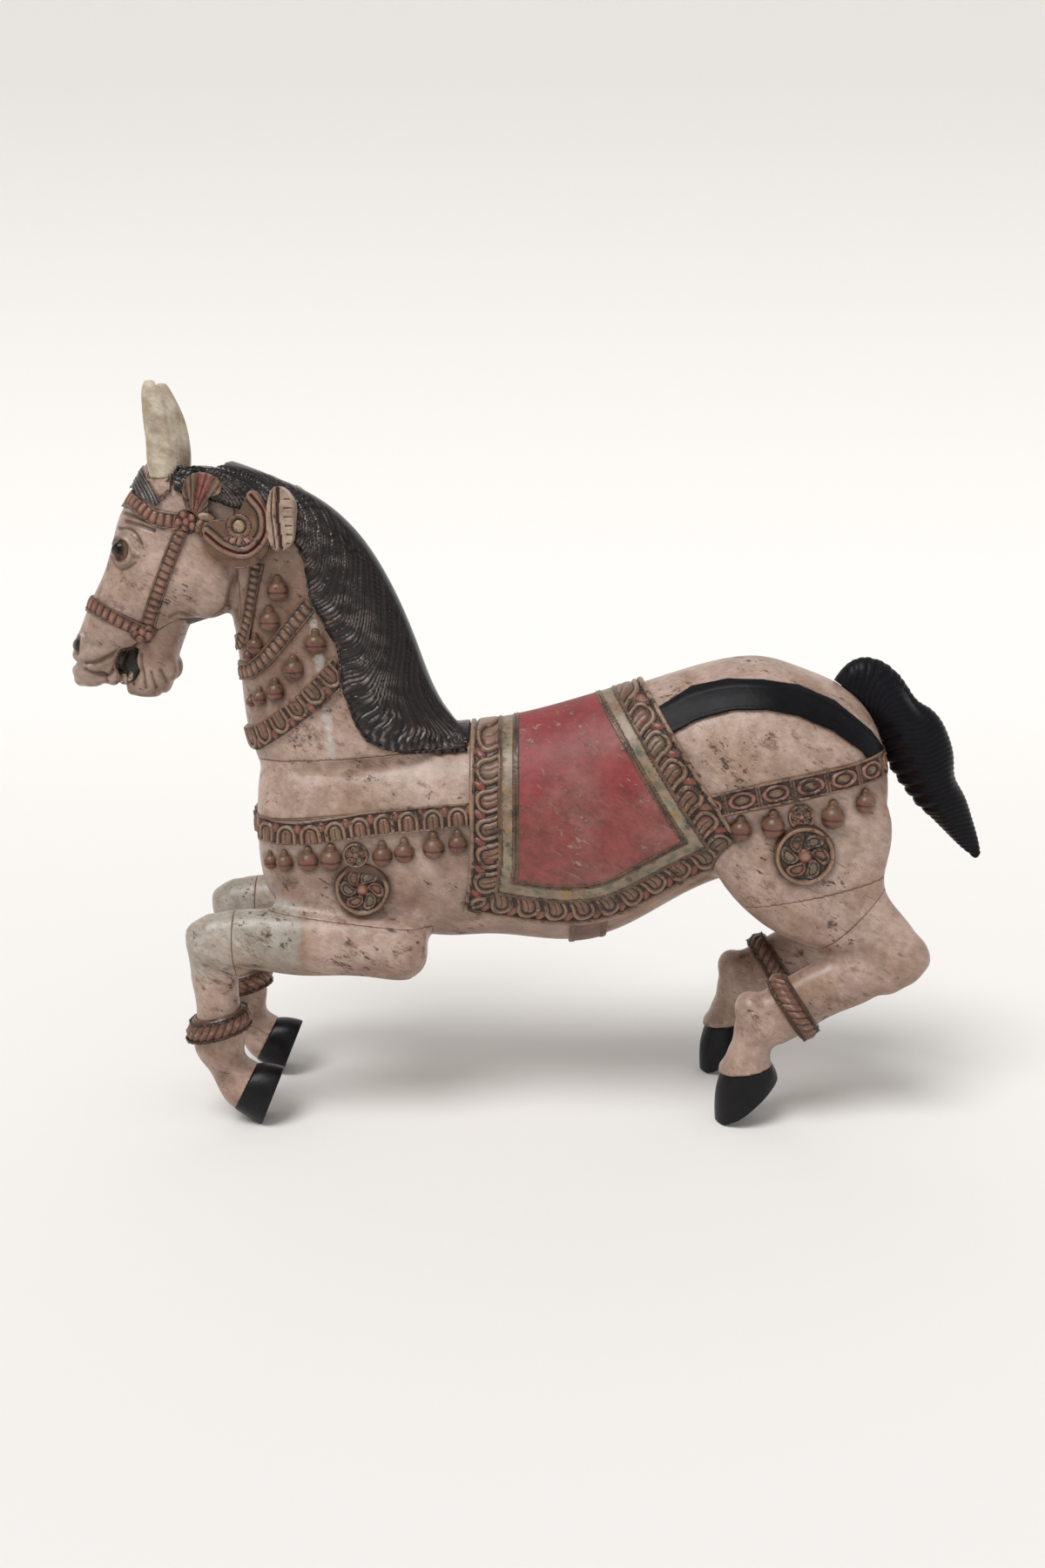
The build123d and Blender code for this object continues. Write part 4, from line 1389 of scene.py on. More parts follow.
def leaf_band(pitch: float, rail: float = 0.2, turn: int = 1) -> Pattern:
    """A row of nested U leaves with drops between them, inside two rails.

    Args:
        pitch: length of one leaf in mm.
        rail: width of a rail as a share of the half width.
        turn: 1 if the leaves open to the +t edge, -1 to the other.

    Returns:
        A pattern of (s, t).
    """
    def pattern(s: np.ndarray, t: np.ndarray) -> tuple[np.ndarray, np.ndarray]:
        u, v = wrap(s, pitch), t / (1 - rail) * turn
        down = np.minimum(v - 0.15, 0.0)
        q = np.sqrt((u / 0.42) ** 2 + (down / 1.0) ** 2)
        core = bump(q, 0.0, 1.1) * (1 - 0.4 * bump(u, 0.0, 0.09) * (v > -0.5))
        height = 0.2 + 0.8 * np.maximum(bump(q, 0.84, 0.38), core * 0.9)
        drop = bump(np.hypot((np.abs(u) - 0.5) / 0.15, (v + 0.5) / 0.5), 0, 2)
        height = np.where(q > 1.03, 0.15 + 0.75 * drop, height)
        turn_of = np.floor(s / pitch) % 4
        accent = np.where((turn_of == 1)[:, None], np.array(INK.green), np.array(INK.red))
        share = ((q > 0.34) & (q < 0.62)).astype(float) * np.where(turn_of == 3, 0.15, 0.45)
        colour = blend(np.tile(np.array(INK.ochre), (len(s), 1)), accent, share)
        colour = blend(colour, INK.red, (q > 1.03) * drop * 0.6)
        return railed(height, colour, t, rail)
    return pattern


def bead_band(pitch: float, rail: float = 0.28, cells: bool = False, red: float = 0.0) -> Pattern:
    """A row of beads between two rails.

    Args:
        pitch: length of one bead in mm.
        rail: width of a rail as a share of the half width.
        cells: square beads instead of round ones.
        red: share of red in the beads' colour.

    Returns:
        A pattern of (s, t).
    """
    def pattern(s: np.ndarray, t: np.ndarray) -> tuple[np.ndarray, np.ndarray]:
        u, v = wrap(s, pitch) / 0.46, t / (1 - rail)
        far = (np.abs(u) ** 4 + np.abs(v) ** 4) ** 0.25 if cells else np.hypot(u, v)
        height = 0.1 + 0.9 * np.sqrt(np.clip(1 - far * far, 0, 1))
        colour = blend(INK.ochre, INK.red, np.full(len(s), red))
        return railed(height, colour, t, rail, 0.85)
    return pattern


def medallion_band(pitch: float, rail: float = 0.2) -> Pattern:
    """Oval medallions with red rings, pairs of little columns between them, inside two rails."""
    def pattern(s: np.ndarray, t: np.ndarray) -> tuple[np.ndarray, np.ndarray]:
        u, v = wrap(s, pitch), t / (1 - rail)
        q = np.hypot(u / 0.41, v / 0.88)
        height = np.maximum(bump(q, 0.84, 0.34), bump(q, 0.0, 1.0) * 0.85)
        outer = q > 1.02
        column = bump(np.abs(np.abs(u) - 0.46), 0.0, 0.06)
        height = np.where(outer, 0.15 + 0.75 * column, 0.15 + 0.85 * height)
        colour = blend(INK.ochre, INK.red, ((q > 0.5) & (q < 0.98)).astype(float) * 0.75)
        colour = blend(colour, INK.green, (q < 0.3).astype(float) * 0.5)
        return railed(height, colour, t, rail)
    return pattern


def rope_band(pitch: float) -> Pattern:
    """A twisted ring: slanted leaf strands with red middles between two flaring lips."""
    def pattern(s: np.ndarray, t: np.ndarray) -> tuple[np.ndarray, np.ndarray]:
        u = wrap(s + t * pitch * 0.9, pitch)
        strand = 1 - (2 * u) ** 2
        height = (1 - 0.8 * np.abs(t)) * (0.55 + 0.45 * strand) + 0.4 * bump(np.abs(t), 0.88, 0.14)
        middle = smoothstep(0.3, 0.16, np.abs(u)) * smoothstep(0.8, 0.6, np.abs(t))
        colour = blend(np.array(INK.ochre) * 0.8, INK.red, middle * 0.38)
        colour = blend(colour, INK.pale, smoothstep(0.34, 0.46, np.abs(u)) * 0.3)
        return grooved(height, colour)
    return pattern


def plain_strap(colour: tuple) -> Pattern:
    """Two rails with a plain groove between them."""
    def pattern(s: np.ndarray, t: np.ndarray) -> tuple[np.ndarray, np.ndarray]:
        return 0.45 + 0.55 * rails(t, 0.3), np.tile(np.array(colour), (len(s), 1))
    return pattern


@dataclass
class Relief:
    """A carving laid on the skin: a fine copy of its frame node, pressed in by a pattern.

    Attributes:
        node: frame node that it copies and replaces.
        rise: thickness of the carving over the skin, mm.
        depth: how deep its pattern is cut, mm.
        finish: its paint.
        slot: the record's material slot; not used.
        voxel: grain in metres.
        top: share of the rise from which a vertex counts as the top surface.
        piece: the finished piece.
    """

    node: str
    rise: float
    depth: float
    finish: Finish = OCHRE
    slot: str = "ochre_ornament_paint"
    voxel: float = 1.7 * MM
    top: float = 0.45
    piece: Optional[bpy.types.Object] = None

    def pattern(self, p: np.ndarray) -> tuple[np.ndarray, np.ndarray]:
        """Height 0 to 1 and linear colour at places in mm."""
        return np.ones(len(p)), np.broadcast_to(np.array(INK.ochre), (len(p), 3))

    def build(self) -> None:
        """Copies the node, carves it, colours it and hands it to the frame."""
        item = merged_copy("carved_" + self.node, [self.node])
        remesh(item, self.voxel, 2, every_shell=True)
        self.piece = item
        places, normals = vert_array(item), normal_array(item)
        over = skin.height_over(places)
        edges = edge_array(item)
        top = spread(smoothstep(self.top * self.rise * 0.7, self.top * self.rise * 1.25, over), edges, 1)
        height, colour = self.pattern(places / MM)
        buried = np.maximum(self.rise * 0.9 - over, 0.0) * smoothstep(0.35, 0.7, top)
        buried = spread(np.minimum(buried, self.rise), edges, 4)
        cut = (height - 1.0) * self.depth
        set_verts(item, places + normals * ((cut * top + buried * 0.8) * MM)[:, None])
        # painted shade: the walls of the carving, low near the skin, are tinted a darker ochre-brown
        side = 1 - smoothstep(0.2, 0.75, top)
        set_tint(item, "tint", blend(colour, blend(INK.ochre, INK.dark, np.full(len(side), 0.45)), side))
        store_cavity(item, 3, 1.2)
        finish_piece(item, [self.node], self.finish)


@dataclass
class Band(Relief):
    """A carved band along a side-view line.

    Attributes:
        line: points of its middle line in the side view, mm.
        half: its half width, mm.
        motif: the pattern of (s, t).
        start: where along the line the first repeat begins, mm.
    """

    line: Points = ()
    half: float = 20.0
    motif: Pattern = plain_strap(INK.ochre)
    start: float = 0.0

    def pattern(self, p: np.ndarray) -> tuple[np.ndarray, np.ndarray]:
        """Finds each place along and across the band and asks the motif."""
        flat = curve_through(self.line, 220)
        path = []
        for x, z in flat:
            y = skin.half_width(x, z)
            if y > 0 or not path:
                path.append((x, y, z))
        path = np.array(path)
        run = np.concatenate([[0], np.cumsum(np.linalg.norm(np.diff(path, axis=0), axis=1))])
        along = np.gradient(path, axis=0)
        along /= np.maximum(np.linalg.norm(along, axis=1), 1e-9)[:, None]
        tree = KDTree(len(path))
        for i, place in enumerate(path):
            tree.insert(place, i)
        tree.balance()
        folded = np.column_stack([p[:, 0], np.abs(p[:, 1]), p[:, 2]])
        near = np.array([tree.find(v)[1] for v in folded])
        gap = folded - path[near]
        s = run[near] + np.einsum("ij,ij->i", gap, along[near])
        flat_along = along[near][:, (0, 2)]
        flat_along /= np.maximum(np.linalg.norm(flat_along, axis=1), 0.2)[:, None]
        t = (flat_along[:, 0] * gap[:, 2] - flat_along[:, 1] * gap[:, 0]) / self.half
        return self.motif(s + self.start, np.clip(t, -1, 1))


@dataclass
class Discs(Relief):
    """Round carvings: rosettes and roundels.

    Attributes:
        places: middles in the side view and radii, mm.
        petals: number of petals.
        swirl: how far the petals turn from the middle to the rim, radians.
    """

    places: Sequence[tuple[float, float, float]] = ()
    petals: int = 6
    swirl: float = 0.9

    def nearest(self, p: np.ndarray) -> tuple[np.ndarray, np.ndarray, np.ndarray]:
        """Number of the nearest disc and the place on it, as shares of its radius."""
        gaps = [np.hypot(p[:, 0] - x, p[:, 2] - z) / r for x, z, r in self.places]
        which = np.argmin(np.array(gaps), axis=0)
        x0, z0, size = np.array(self.places)[which].T
        return which, (p[:, 0] - x0) / size, (p[:, 2] - z0) / size

    def pattern(self, p: np.ndarray) -> tuple[np.ndarray, np.ndarray]:
        """Rim, petals and boss around the nearest middle."""
        _, dx, dz = self.nearest(p)
        r = np.hypot(dx, dz)
        angle = np.arctan2(dz, dx) + self.swirl * r
        u = wrap(angle, 2 * math.pi / self.petals)
        lobe = np.hypot(u / 0.45, (r - 0.5) / 0.29)
        petal = np.maximum(bump(lobe, 0.86, 0.34), bump(lobe, 0.2, 0.9) * 0.85)
        height = 0.1 + 0.85 * petal
        turned = np.floor(angle / (2 * math.pi / self.petals)) % 2 == 0
        accent = np.where(turned[:, None], np.array(INK.red), np.array(INK.blue))
        colour = np.tile(np.array(INK.ochre), (len(p), 1))
        colour = blend(colour, accent, ((lobe > 0.3) & (lobe < 0.75)) * 0.4)
        ring = r > 0.8
        height = np.where(ring, 0.15 + 0.85 * bump(r, 0.9, 0.2), height)
        boss = r < 0.24
        height = np.where(boss, 0.2 + 0.8 * bump(r, 0.0, 0.48), height)
        colour = swap(colour, ring | boss, INK.ochre)
        inner = (r >= 0.15) & (r < 0.25)
        colour = swap(colour, inner, INK.red)
        return grooved(height, colour)


MEDALLION = 2  # which of the bridle's rosettes is a plain medallion with a turquoise middle


@dataclass
class SmallRosettes(Discs):
    """Bridle rosettes: a ring of round beads about a middle bead."""

    def pattern(self, p: np.ndarray) -> tuple[np.ndarray, np.ndarray]:
        """Beads around the nearest middle."""
        which, dx, dz = self.nearest(p)
        best = np.hypot(dx, dz) / 0.34
        for k in range(self.petals):
            a = 2 * math.pi * (k + 0.5) / self.petals
            best = np.minimum(best, np.hypot(dx - 0.62 * math.cos(a), dz - 0.62 * math.sin(a)) / 0.34)
        height = 0.05 + 0.95 * np.sqrt(np.clip(1 - best * best, 0, 1))
        colour = np.tile(0.55 * np.array(INK.red) + 0.45 * np.array(INK.ochre), (len(p), 1))
        r = np.hypot(dx, dz)
        plain = which == MEDALLION
        height = np.where(plain, 2.8 + 0.7 * np.maximum(bump(r, 0.82, 0.36), bump(r, 0.0, 0.95)), height)
        stone = blend(INK.blue, INK.pale, smoothstep(0.1, 0.4, np.abs(dx + dz * 0.4)))
        colour = np.where(plain[:, None], np.where((r < 0.5)[:, None], stone, np.array(INK.ochre)), colour)
        return grooved(height, colour)


BANDS = (
    Band("breast_band", 8, 4.5, half=20, motif=leaf_band(38.0),
         line=((-98, 510), (-232, 497), (-352, 478), (-415, 478), (-446, 479))),
    Band("breeching_band", 8, 4.5, half=19, motif=medallion_band(52.0), start=14,
         line=((252, 519), (280, 527), (360, 547), (450, 566), (530, 581), (560, 585))),
    Band("throat_strap", 5, 3.0, line=((-458, 758), (-442, 800), (-434, 829), (-422, 884)), half=10,
         motif=bead_band(11.0, 0.25), voxel=1.4 * MM),
    Band("beaded_collar", 5, 3.2, half=13.5, motif=bead_band(12.5, 0.26), voxel=1.4 * MM,
         line=((-470, 712), (-440, 721), (-410, 745), (-376, 784), (-340, 826))),
    Band("leaf_collar", 8, 4.5, half=22.5, motif=leaf_band(36.0, 0.2),
         line=((-470, 606), (-434, 614), (-380, 649), (-332, 690), (-292, 730))),
    Band("girth_strap", 5, 3.0, OCHRE, "dark_red_paint", line=((87, 200), (87, 300), (87, 420)), half=30,
         motif=plain_strap(tone("#6a4638"))),
    Band("crupper_straps", 5, 1.2, TAIL_PAINT, "black_hair_paint",
         line=((150, 626), (212, 656), (246, 674), (298, 687), (350, 688), (402, 680), (456, 656), (506, 618),
               (548, 570)), half=19, motif=plain_strap(tone("#0f0e12"))),
)
HEAD_BANDS = (
    Band("browband", 5, 3.2, line=((-660, 982), (-616, 982), (-574, 954), (-524, 946)), half=13,
         motif=bead_band(12.0, 0.22, True, 0.35), voxel=1.4 * MM),
    Band("noseband", 5, 3.2, line=((-700, 826), (-680, 818), (-612, 782), (-554, 757)), half=13,
         motif=bead_band(12.0, 0.22, True, 0.35), voxel=1.4 * MM),
    Band("cheek_straps", 5, 3.2, line=((-526, 946), (-598, 782)), half=11.5,
         motif=bead_band(11.5, 0.25, True, 0.25), voxel=1.4 * MM),
)
DISCS = (
    Discs("shoulder_rosettes", 12, 6.0, places=((-266, 390, 43),), petals=6),
    Discs("hip_rosettes", 12, 6.0, places=((410, 452, 47),), petals=6),
    Discs("flank_roundels", 9, 4.0, places=((-274, 446, 20), (404, 510, 20)), petals=5, swirl=0.5),
    SmallRosettes("bridle_rosettes", 8, 4.0, petals=5, voxel=1.4 * MM,
                  places=((-524, 947, 19), (-604, 780, 20), (-494, 938, 18))),
)


@dataclass
class Harness:
    """All carved bands and round carvings."""

    parts: tuple = BANDS + HEAD_BANDS + DISCS

    def build(self) -> None:
        """Builds every band and disc."""
        for part in self.parts:
            part.build()


CREST = curve_through(((-560, 1036), (-500, 1036), (-430, 1030), (-380, 1012), (-313, 970), (-257, 908),
                       (-219, 843), (-188, 773), (-158, 692), (-100, 622)), 90)
MANE_EDGE = curve_through(((-560, 985), (-500, 976), (-457, 964), (-388, 950), (-356, 893), (-344, 830),
                           (-306, 757), (-299, 697), (-280, 643), (-262, 619), (-236, 605), (-199, 596),
                           (-155, 595), (-100, 600)), 120)
TAIL_LINE = curve_through(((474, 660), (548, 672), (592, 628), (634, 556), (672, 488), (705, 438),
                           (720, 408)), 80)


@dataclass
class Hair(Relief):
    """Carved hair: a copy of the node cut all over by a field of strands.

    Attributes:
        pitch: width of a strand, mm.
    """

    finish: Finish = HAIR
    slot: str = "black_hair_paint"
    pitch: float = 6.5

    def build(self) -> None:
        """Copies the node, cuts the strands and colours them."""
        item = merged_copy("carved_" + self.node, [self.node])
        remesh(item, self.voxel, 2)
        self.piece = item
        places, normals = vert_array(item), normal_array(item)
        height, colour = self.pattern(places / MM)
        set_verts(item, places + normals * ((height - 1.0) * self.depth * MM)[:, None])
        set_tint(item, "tint", colour)
        store_cavity(item, 3, 1.0)
        finish_piece(item, [self.node], self.finish)


def strands(phase: np.ndarray, highlight_share: np.ndarray) -> tuple[np.ndarray, np.ndarray]:
    """Height and colour of strands, from their phase and a 0 to 1 share of painted highlight along the waves.
    """
    ridge = np.abs(np.cos(math.pi * phase)) ** 0.8
    fine = 0.5 + 0.5 * np.cos(2 * math.pi * phase * 0.37 + 1.0)
    height = 0.25 + 0.5 * ridge + 0.25 * fine
    dark, brown, painted_highlight = tone("#120d0c"), tone("#2e221e"), tone("#8a807b")
    # painted highlight: a pale grey laid on the strand ridges
    colour = blend(blend(dark, brown, fine), painted_highlight, smoothstep(0.8, 1.0, ridge) * highlight_share)
    return height, colour


@dataclass
class Mane(Hair):
    """The mane: strands run down the crest, then sweep forward in waves and end in curled tips."""

    def pattern(self, p: np.ndarray) -> tuple[np.ndarray, np.ndarray]:
        """Strand field between the crest and the front edge."""
        x, z = p[:, 0], p[:, 2]
        above, s, _ = path_distance(x, z, CREST)
        below, f, _ = path_distance(x, z, MANE_EDGE)
        r = above / np.maximum(above + below, 1e-6)
        curl = 4.5 * np.sin(2 * math.pi * (r - 0.5) / 0.6 + f / 110.0) * smoothstep(0.45, 0.8, r)
        w = s - 165.0 * (1 - (1 - r) ** 2.5) + curl + 3.0 * np.sin(2 * math.pi * r + s / 70.0)
        lock = wrap(w + 5 * np.sin(w / 31.0), 46.0)
        # where along the mane the painted highlight on the strands is laid
        gleam = smoothstep(0.2, 0.5, r) * smoothstep(-0.5, 0.7, wave_noise(p * MM, 0.06, 8.0))
        height, colour = strands((w + 1.6 * np.sin(w / 11.0)) / self.pitch, gleam)
        height = height * (0.68 + 0.32 * np.cos(math.pi * lock) ** 2)
        edge = smoothstep(16.0, 0.0, below - 13.0 * (0.5 - np.abs(lock)) * 2)
        height = height * (1 - 0.9 * edge)
        rim = smoothstep(9.0, 4.0, above) * (x > -470)
        smooth = np.full(len(p), 0.9)
        height = height * (1 - rim) + smooth * rim
        return height, blend(colour, tone("#141015"), rim)


@dataclass
class Forelock(Hair):
    """The combed hair between the ears, over the brow."""

    def pattern(self, p: np.ndarray) -> tuple[np.ndarray, np.ndarray]:
        """Curved strands that fan down to the browband, with the bare brow behind them."""
        x, z = p[:, 0], p[:, 2]
        across = 0.8 * x + 0.58 * z + 0.004 * (z - 1000) ** 2
        # painted highlight on the strand ridges over the whole forelock
        height, colour = strands(across / 5.2, np.full(len(p), 0.8))
        brow = smoothstep(-3, 3, x + 0.73 * z - 152)
        return height * (1 - brow) - 0.6 * brow, blend(colour, tone("#a98f80"), brow)


@dataclass
class Tail(Hair):
    """The tail: fine slanted grooves and a lobed inner edge."""

    def pattern(self, p: np.ndarray) -> tuple[np.ndarray, np.ndarray]:
        """Grooves across the tail, wavy with its length."""
        away, s, side = path_distance(p[:, 0], p[:, 2], TAIL_LINE)
        t = away * side
        phase = (s - 0.3 * t + 3.5 * np.sin(t / 13.0 + s / 40.0)) / self.pitch
        ridge = np.abs(np.cos(math.pi * phase)) ** 0.7
        height = 0.45 + 0.55 * ridge * smoothstep(10.0, 60.0, s)
        lobe = np.abs(np.sin(math.pi * s / 23.0)) * smoothstep(100, 130, s) * smoothstep(300, 270, s)
        inner = smoothstep(-14.0, -34.0, t)
        height = height - inner * (1 - lobe) * 1.8 * smoothstep(100, 130, s)
        angular = 6.4 * np.exp(-(((s - 112) / 32) ** 2)) + 3.2 * np.exp(-(((s - 255) / 28) ** 2))
        height = height - angular * smoothstep(8.0, 38.0, t)
        dark, blue, wood = tone("#0a090d"), tone("#16151b"), tone("#33201a")
        colour = blend(blend(dark, blue, ridge), wood, inner * (1 - lobe) * smoothstep(120, 160, s) * 0.7)
        return height, colour


# ------------------------------------------------------------------------------ saddle cloth
CLOTH_FRONT = np.array(((-99, 820), (-99, 520), (-98, 440), (-110, 350)), dtype=float)
CLOTH_BOTTOM = curve_through(((-110, 350), (-20, 332), (62, 326), (140, 341), (240, 394), (333, 438)), 60)
CLOTH_REAR = np.vstack([curve_through(((333, 438), (247, 572), (165, 712)), 30), [(120, 800)]])
# layers of the saddle cloth by their distance from its edge, mm
RIM_TO = 6.0
LEAF_ROW, LEAF_HALF, LEAF_PITCH = 24.5, 19.5, 44.0
INNER_RAIL = (43.0, 48.0)
STRIP = (48.0, 66.0)
FIELD_FROM = 75.0


@dataclass
class SaddleCloth(Relief):
    """The saddle cloth: a leaf border, a worn painted strip and a crimson field."""

    def edges(self, p: np.ndarray) -> tuple[np.ndarray, np.ndarray]:
        """Distance in mm from the nearest edge of the cloth, and arc length along that edge."""
        x, z = p[:, 0], p[:, 2]
        found = [path_distance(x, z, line)[:2] for line in (CLOTH_FRONT, CLOTH_BOTTOM, CLOTH_REAR)]
        gaps = np.array([d for d, _ in found])
        runs = np.array([s for _, s in found])
        which = np.argmin(gaps, axis=0)
        pick = np.arange(len(p))
        return gaps[which, pick], runs[which, pick] + which * 7.0

    def pattern(self, p: np.ndarray) -> tuple[np.ndarray, np.ndarray]:
        """Layers of the cloth from its edge inwards."""
        d, s = self.edges(p)
        across = np.clip((d - LEAF_ROW) / LEAF_HALF, -1, 1)
        sway = s + 4.0 * np.sin(s / 57.0) + 7.0 * across ** 2
        height, colour = leaf_band(LEAF_PITCH, 0.04, 1)(sway, across)
        height = height * 0.95
        drop = (np.abs(wrap(sway, LEAF_PITCH)) > 0.4) & (d > 8) & (d < 24)
        third = np.floor(sway / LEAF_PITCH) % 3 == 0
        accents = np.where(third[:, None], np.array(INK.orange), np.array(INK.red))
        colour = np.where(drop[:, None], blend(colour, accents, np.full(len(s), 0.5)), colour)
        rim = d < RIM_TO
        height = np.where(rim, 0.9 + 0.1 * bump(d, RIM_TO / 2, RIM_TO), height)
        colour = swap(colour, rim, 0.6 * np.array(INK.ochre) + 0.4 * np.array(INK.pale))
        inner = (d > INNER_RAIL[0]) & (d < INNER_RAIL[1])
        rail_middle, rail_width = sum(INNER_RAIL) / 2, INNER_RAIL[1] - INNER_RAIL[0]
        height = np.where(inner, 0.4 + 0.6 * bump(d, rail_middle, rail_width), height)
        strip = (d >= STRIP[0]) & (d < STRIP[1])
        height = np.where(strip, 0.55, height)
        wear = wave_noise(p * MM, 0.035, 4.0)
        worn = blend(tone("#96846f"), tone("#5f7058"), smoothstep(0.1, 0.8, wear) * 0.75)
        worn = blend(worn, tone("#a8853f"), smoothstep(0.6, 0.95, wave_noise(p * MM, 0.05, 9.0)) * 0.7)
        colour = swap(colour, strip & (d > STRIP[0] + 1), worn)
        rails_in = (d >= STRIP[1]) & (d < FIELD_FROM)
        height = np.where(rails_in, 0.45 + 0.5 * np.abs(np.sin(math.pi * (d - STRIP[1]) / 4.5)), height)
        edge_colour = 0.6 * np.array(INK.ochre) + 0.4 * np.array(INK.dark)
        colour = swap(colour, inner | rails_in, edge_colour)
        field = d >= FIELD_FROM
        height = np.where(field, 0.6, height)
        rub = 0.2 + 0.35 * smoothstep(640, 430, p[:, 2]) + 0.12 * wave_noise(p * MM, 0.21, 6.0)
        crimson = blend(tone("#8c1d28"), tone("#8a5f54"), np.clip(rub, 0, 1))
        colour = swap(colour, field, crimson)
        return height, colour

    def build(self) -> None:
        """Builds the relief, then gives the field its own paint."""
        super().build()
        mesh = self.piece.data
        mesh.materials.append(paint(CRIMSON))
        centres = np.empty(len(mesh.polygons) * 3, dtype=np.float32)
        mesh.polygons.foreach_get("center", centres)
        d, _ = self.edges(centres.reshape(-1, 3) / MM)
        mesh.polygons.foreach_set("material_index", (d >= FIELD_FROM).astype(np.int32))
        mesh.update()


# ------------------------------------------------------------------------------ anklets
@dataclass
class Anklet(Relief):
    """A twisted ring round a leg.

    Attributes:
        middle: middle of the ring in the side view, mm.
        across: side-view direction across the leg.
        leg_y: middle of the leg from the midplane, mm.
        half: half width of the ring, mm.
        round_mm: mean radius of the ring, mm.
    """

    middle: tuple[float, float] = (0.0, 0.0)
    across: tuple[float, float] = (1.0, 0.0)
    leg_y: float = 102.0
    half: float = 14.0
    round_mm: float = 50.0

    def pattern(self, p: np.ndarray) -> tuple[np.ndarray, np.ndarray]:
        """Slanted lozenges round the leg between thin rims, on a bulging ring."""
        size = math.hypot(*self.across)
        ax, az = self.across[0] / size, self.across[1] / size
        dx, dz = p[:, 0] - self.middle[0], p[:, 2] - self.middle[1]
        reach = dx * ax + dz * az
        t = np.clip((dz * ax - dx * az) / self.half, -1, 1)
        s = np.arctan2(np.abs(p[:, 1]) - self.leg_y, reach) * self.round_mm
        return rope_band(2 * math.pi * self.round_mm / 22)(s, t)


ANKLETS = tuple(
    Anklet(f"{leg}_anklet_{side}", 15, 9.0, middle=middle, across=across, leg_y=leg_y, half=half, round_mm=48)
    for side in ("left", "right")
    for leg, middle, across, leg_y, half in (
        ("fore", (-503, 164), (134, 28), 102.0, 17.6), ("hind", (410, 194), (70, -107), 104.0, 17.8))
)


# ------------------------------------------------------------------------------ bells
@dataclass
class Bells:
    """Round bells with a slit and a ringed knob, half sunk in the wood.

    Attributes:
        node: frame node that they replace.
        places: middle in the side view and radius of each bell, mm.
        lift: share of the radius by which a bell's middle stands off the skin.
    """

    node: str
    places: Sequence[tuple[float, float, float]]
    lift: float = 0.2

    def build(self) -> None:
        """Models every bell on both sides and joins them into one piece."""
        made = []
        for x, z, radius in self.places:
            for side in SIDES:
                y = side * (skin.half_width(x, z) + radius * self.lift)
                made += self.bell(x, y, z, radius, side)
        join(made[0], made[1:])
        made[0].name = "carved_" + self.node
        finish_piece(made[0], [self.node], OCHRE, 50.0)

    def bell(self, x: float, y: float, z: float, radius: float, side: float) -> list[bpy.types.Object]:
        """Models one bell: body, knob and ring."""
        body = self.ball(x, y, z, radius)
        places = vert_array(body) / MM
        gap = np.abs(places[:, 2] - z + radius * 0.1)
        front = (places[:, 1] - y) * side > 0
        slit = smoothstep(0.14, 0.0, gap / radius) * front
        places -= (places - (x, y, z)) * (slit * 0.14)[:, None]
        set_verts(body, places * MM)
        red = smoothstep(0.5, 0.1, gap / radius) * front
        red *= smoothstep(0.9, 0.5, np.abs(places[:, 0] - x) / radius)
        colour = blend(np.tile(np.array(INK.ochre) * 0.92, (len(places), 1)), INK.red, red * 0.6)
        # painted shade: the slit is darkened almost to the groove brown
        set_tint(body, "tint", blend(colour, INK.dark, slit * 0.9))
        set_tint(body, "cavity", 0.42 + 0.5 * slit)
        knob = self.ball(x, y, z + radius * 1.16, radius * 0.42)
        deselect()
        bpy.ops.mesh.primitive_torus_add(location=np.array((x, y, z + radius * 0.92)) * MM, major_segments=20,
                                         minor_segments=8, major_radius=radius * 0.36 * MM,
                                         minor_radius=radius * 0.13 * MM)
        ring = bpy.context.active_object
        activate(ring)
        bpy.ops.object.transform_apply(location=True, rotation=True, scale=True)
        for item in (knob, ring):
            count = len(item.data.vertices)
            set_tint(item, "tint", np.tile(np.array(INK.ochre) * 0.85, (count, 1)))
            set_tint(item, "cavity", np.full(count, 0.55))
        return [body, knob, ring]

    def ball(self, x: float, y: float, z: float, radius: float) -> bpy.types.Object:
        """A round ball at a place in mm."""
        deselect()
        bpy.ops.mesh.primitive_uv_sphere_add(segments=28, ring_count=20, radius=radius * MM,
                                             location=(x * MM, y * MM, z * MM))
        item = bpy.context.active_object
        bpy.ops.object.transform_apply(location=True, rotation=True, scale=True)
        return item


# ------------------------------------------------------------------------------ temple carvings
@dataclass
class Plate(Relief):
    """A flat carving that stands out at the temple, cut all over its outer side."""

    voxel: float = 1.6 * MM

    def build(self) -> None:
        """Copies the node, rounds and carves it and colours it."""
        item = merged_copy("carved_" + self.node, [self.node])
        remesh(item, self.voxel, 6, every_shell=True)
        self.piece = item
        places, normals = vert_array(item), normal_array(item)
        height, colour = self.pattern(places / MM)
        facing = smoothstep(0.1, 0.6, np.abs(normals[:, 1]))
        set_verts(item, places + normals * ((height - 1.0) * self.depth * facing * MM)[:, None])
        set_tint(item, "tint", colour)
        store_cavity(item, 3, 1.0)
        finish_piece(item, [self.node], self.finish)


C_LINE = curve_through(((-420, 988), (-402, 962), (-404, 928), (-430, 903), (-462, 910), (-490, 932)), 60)


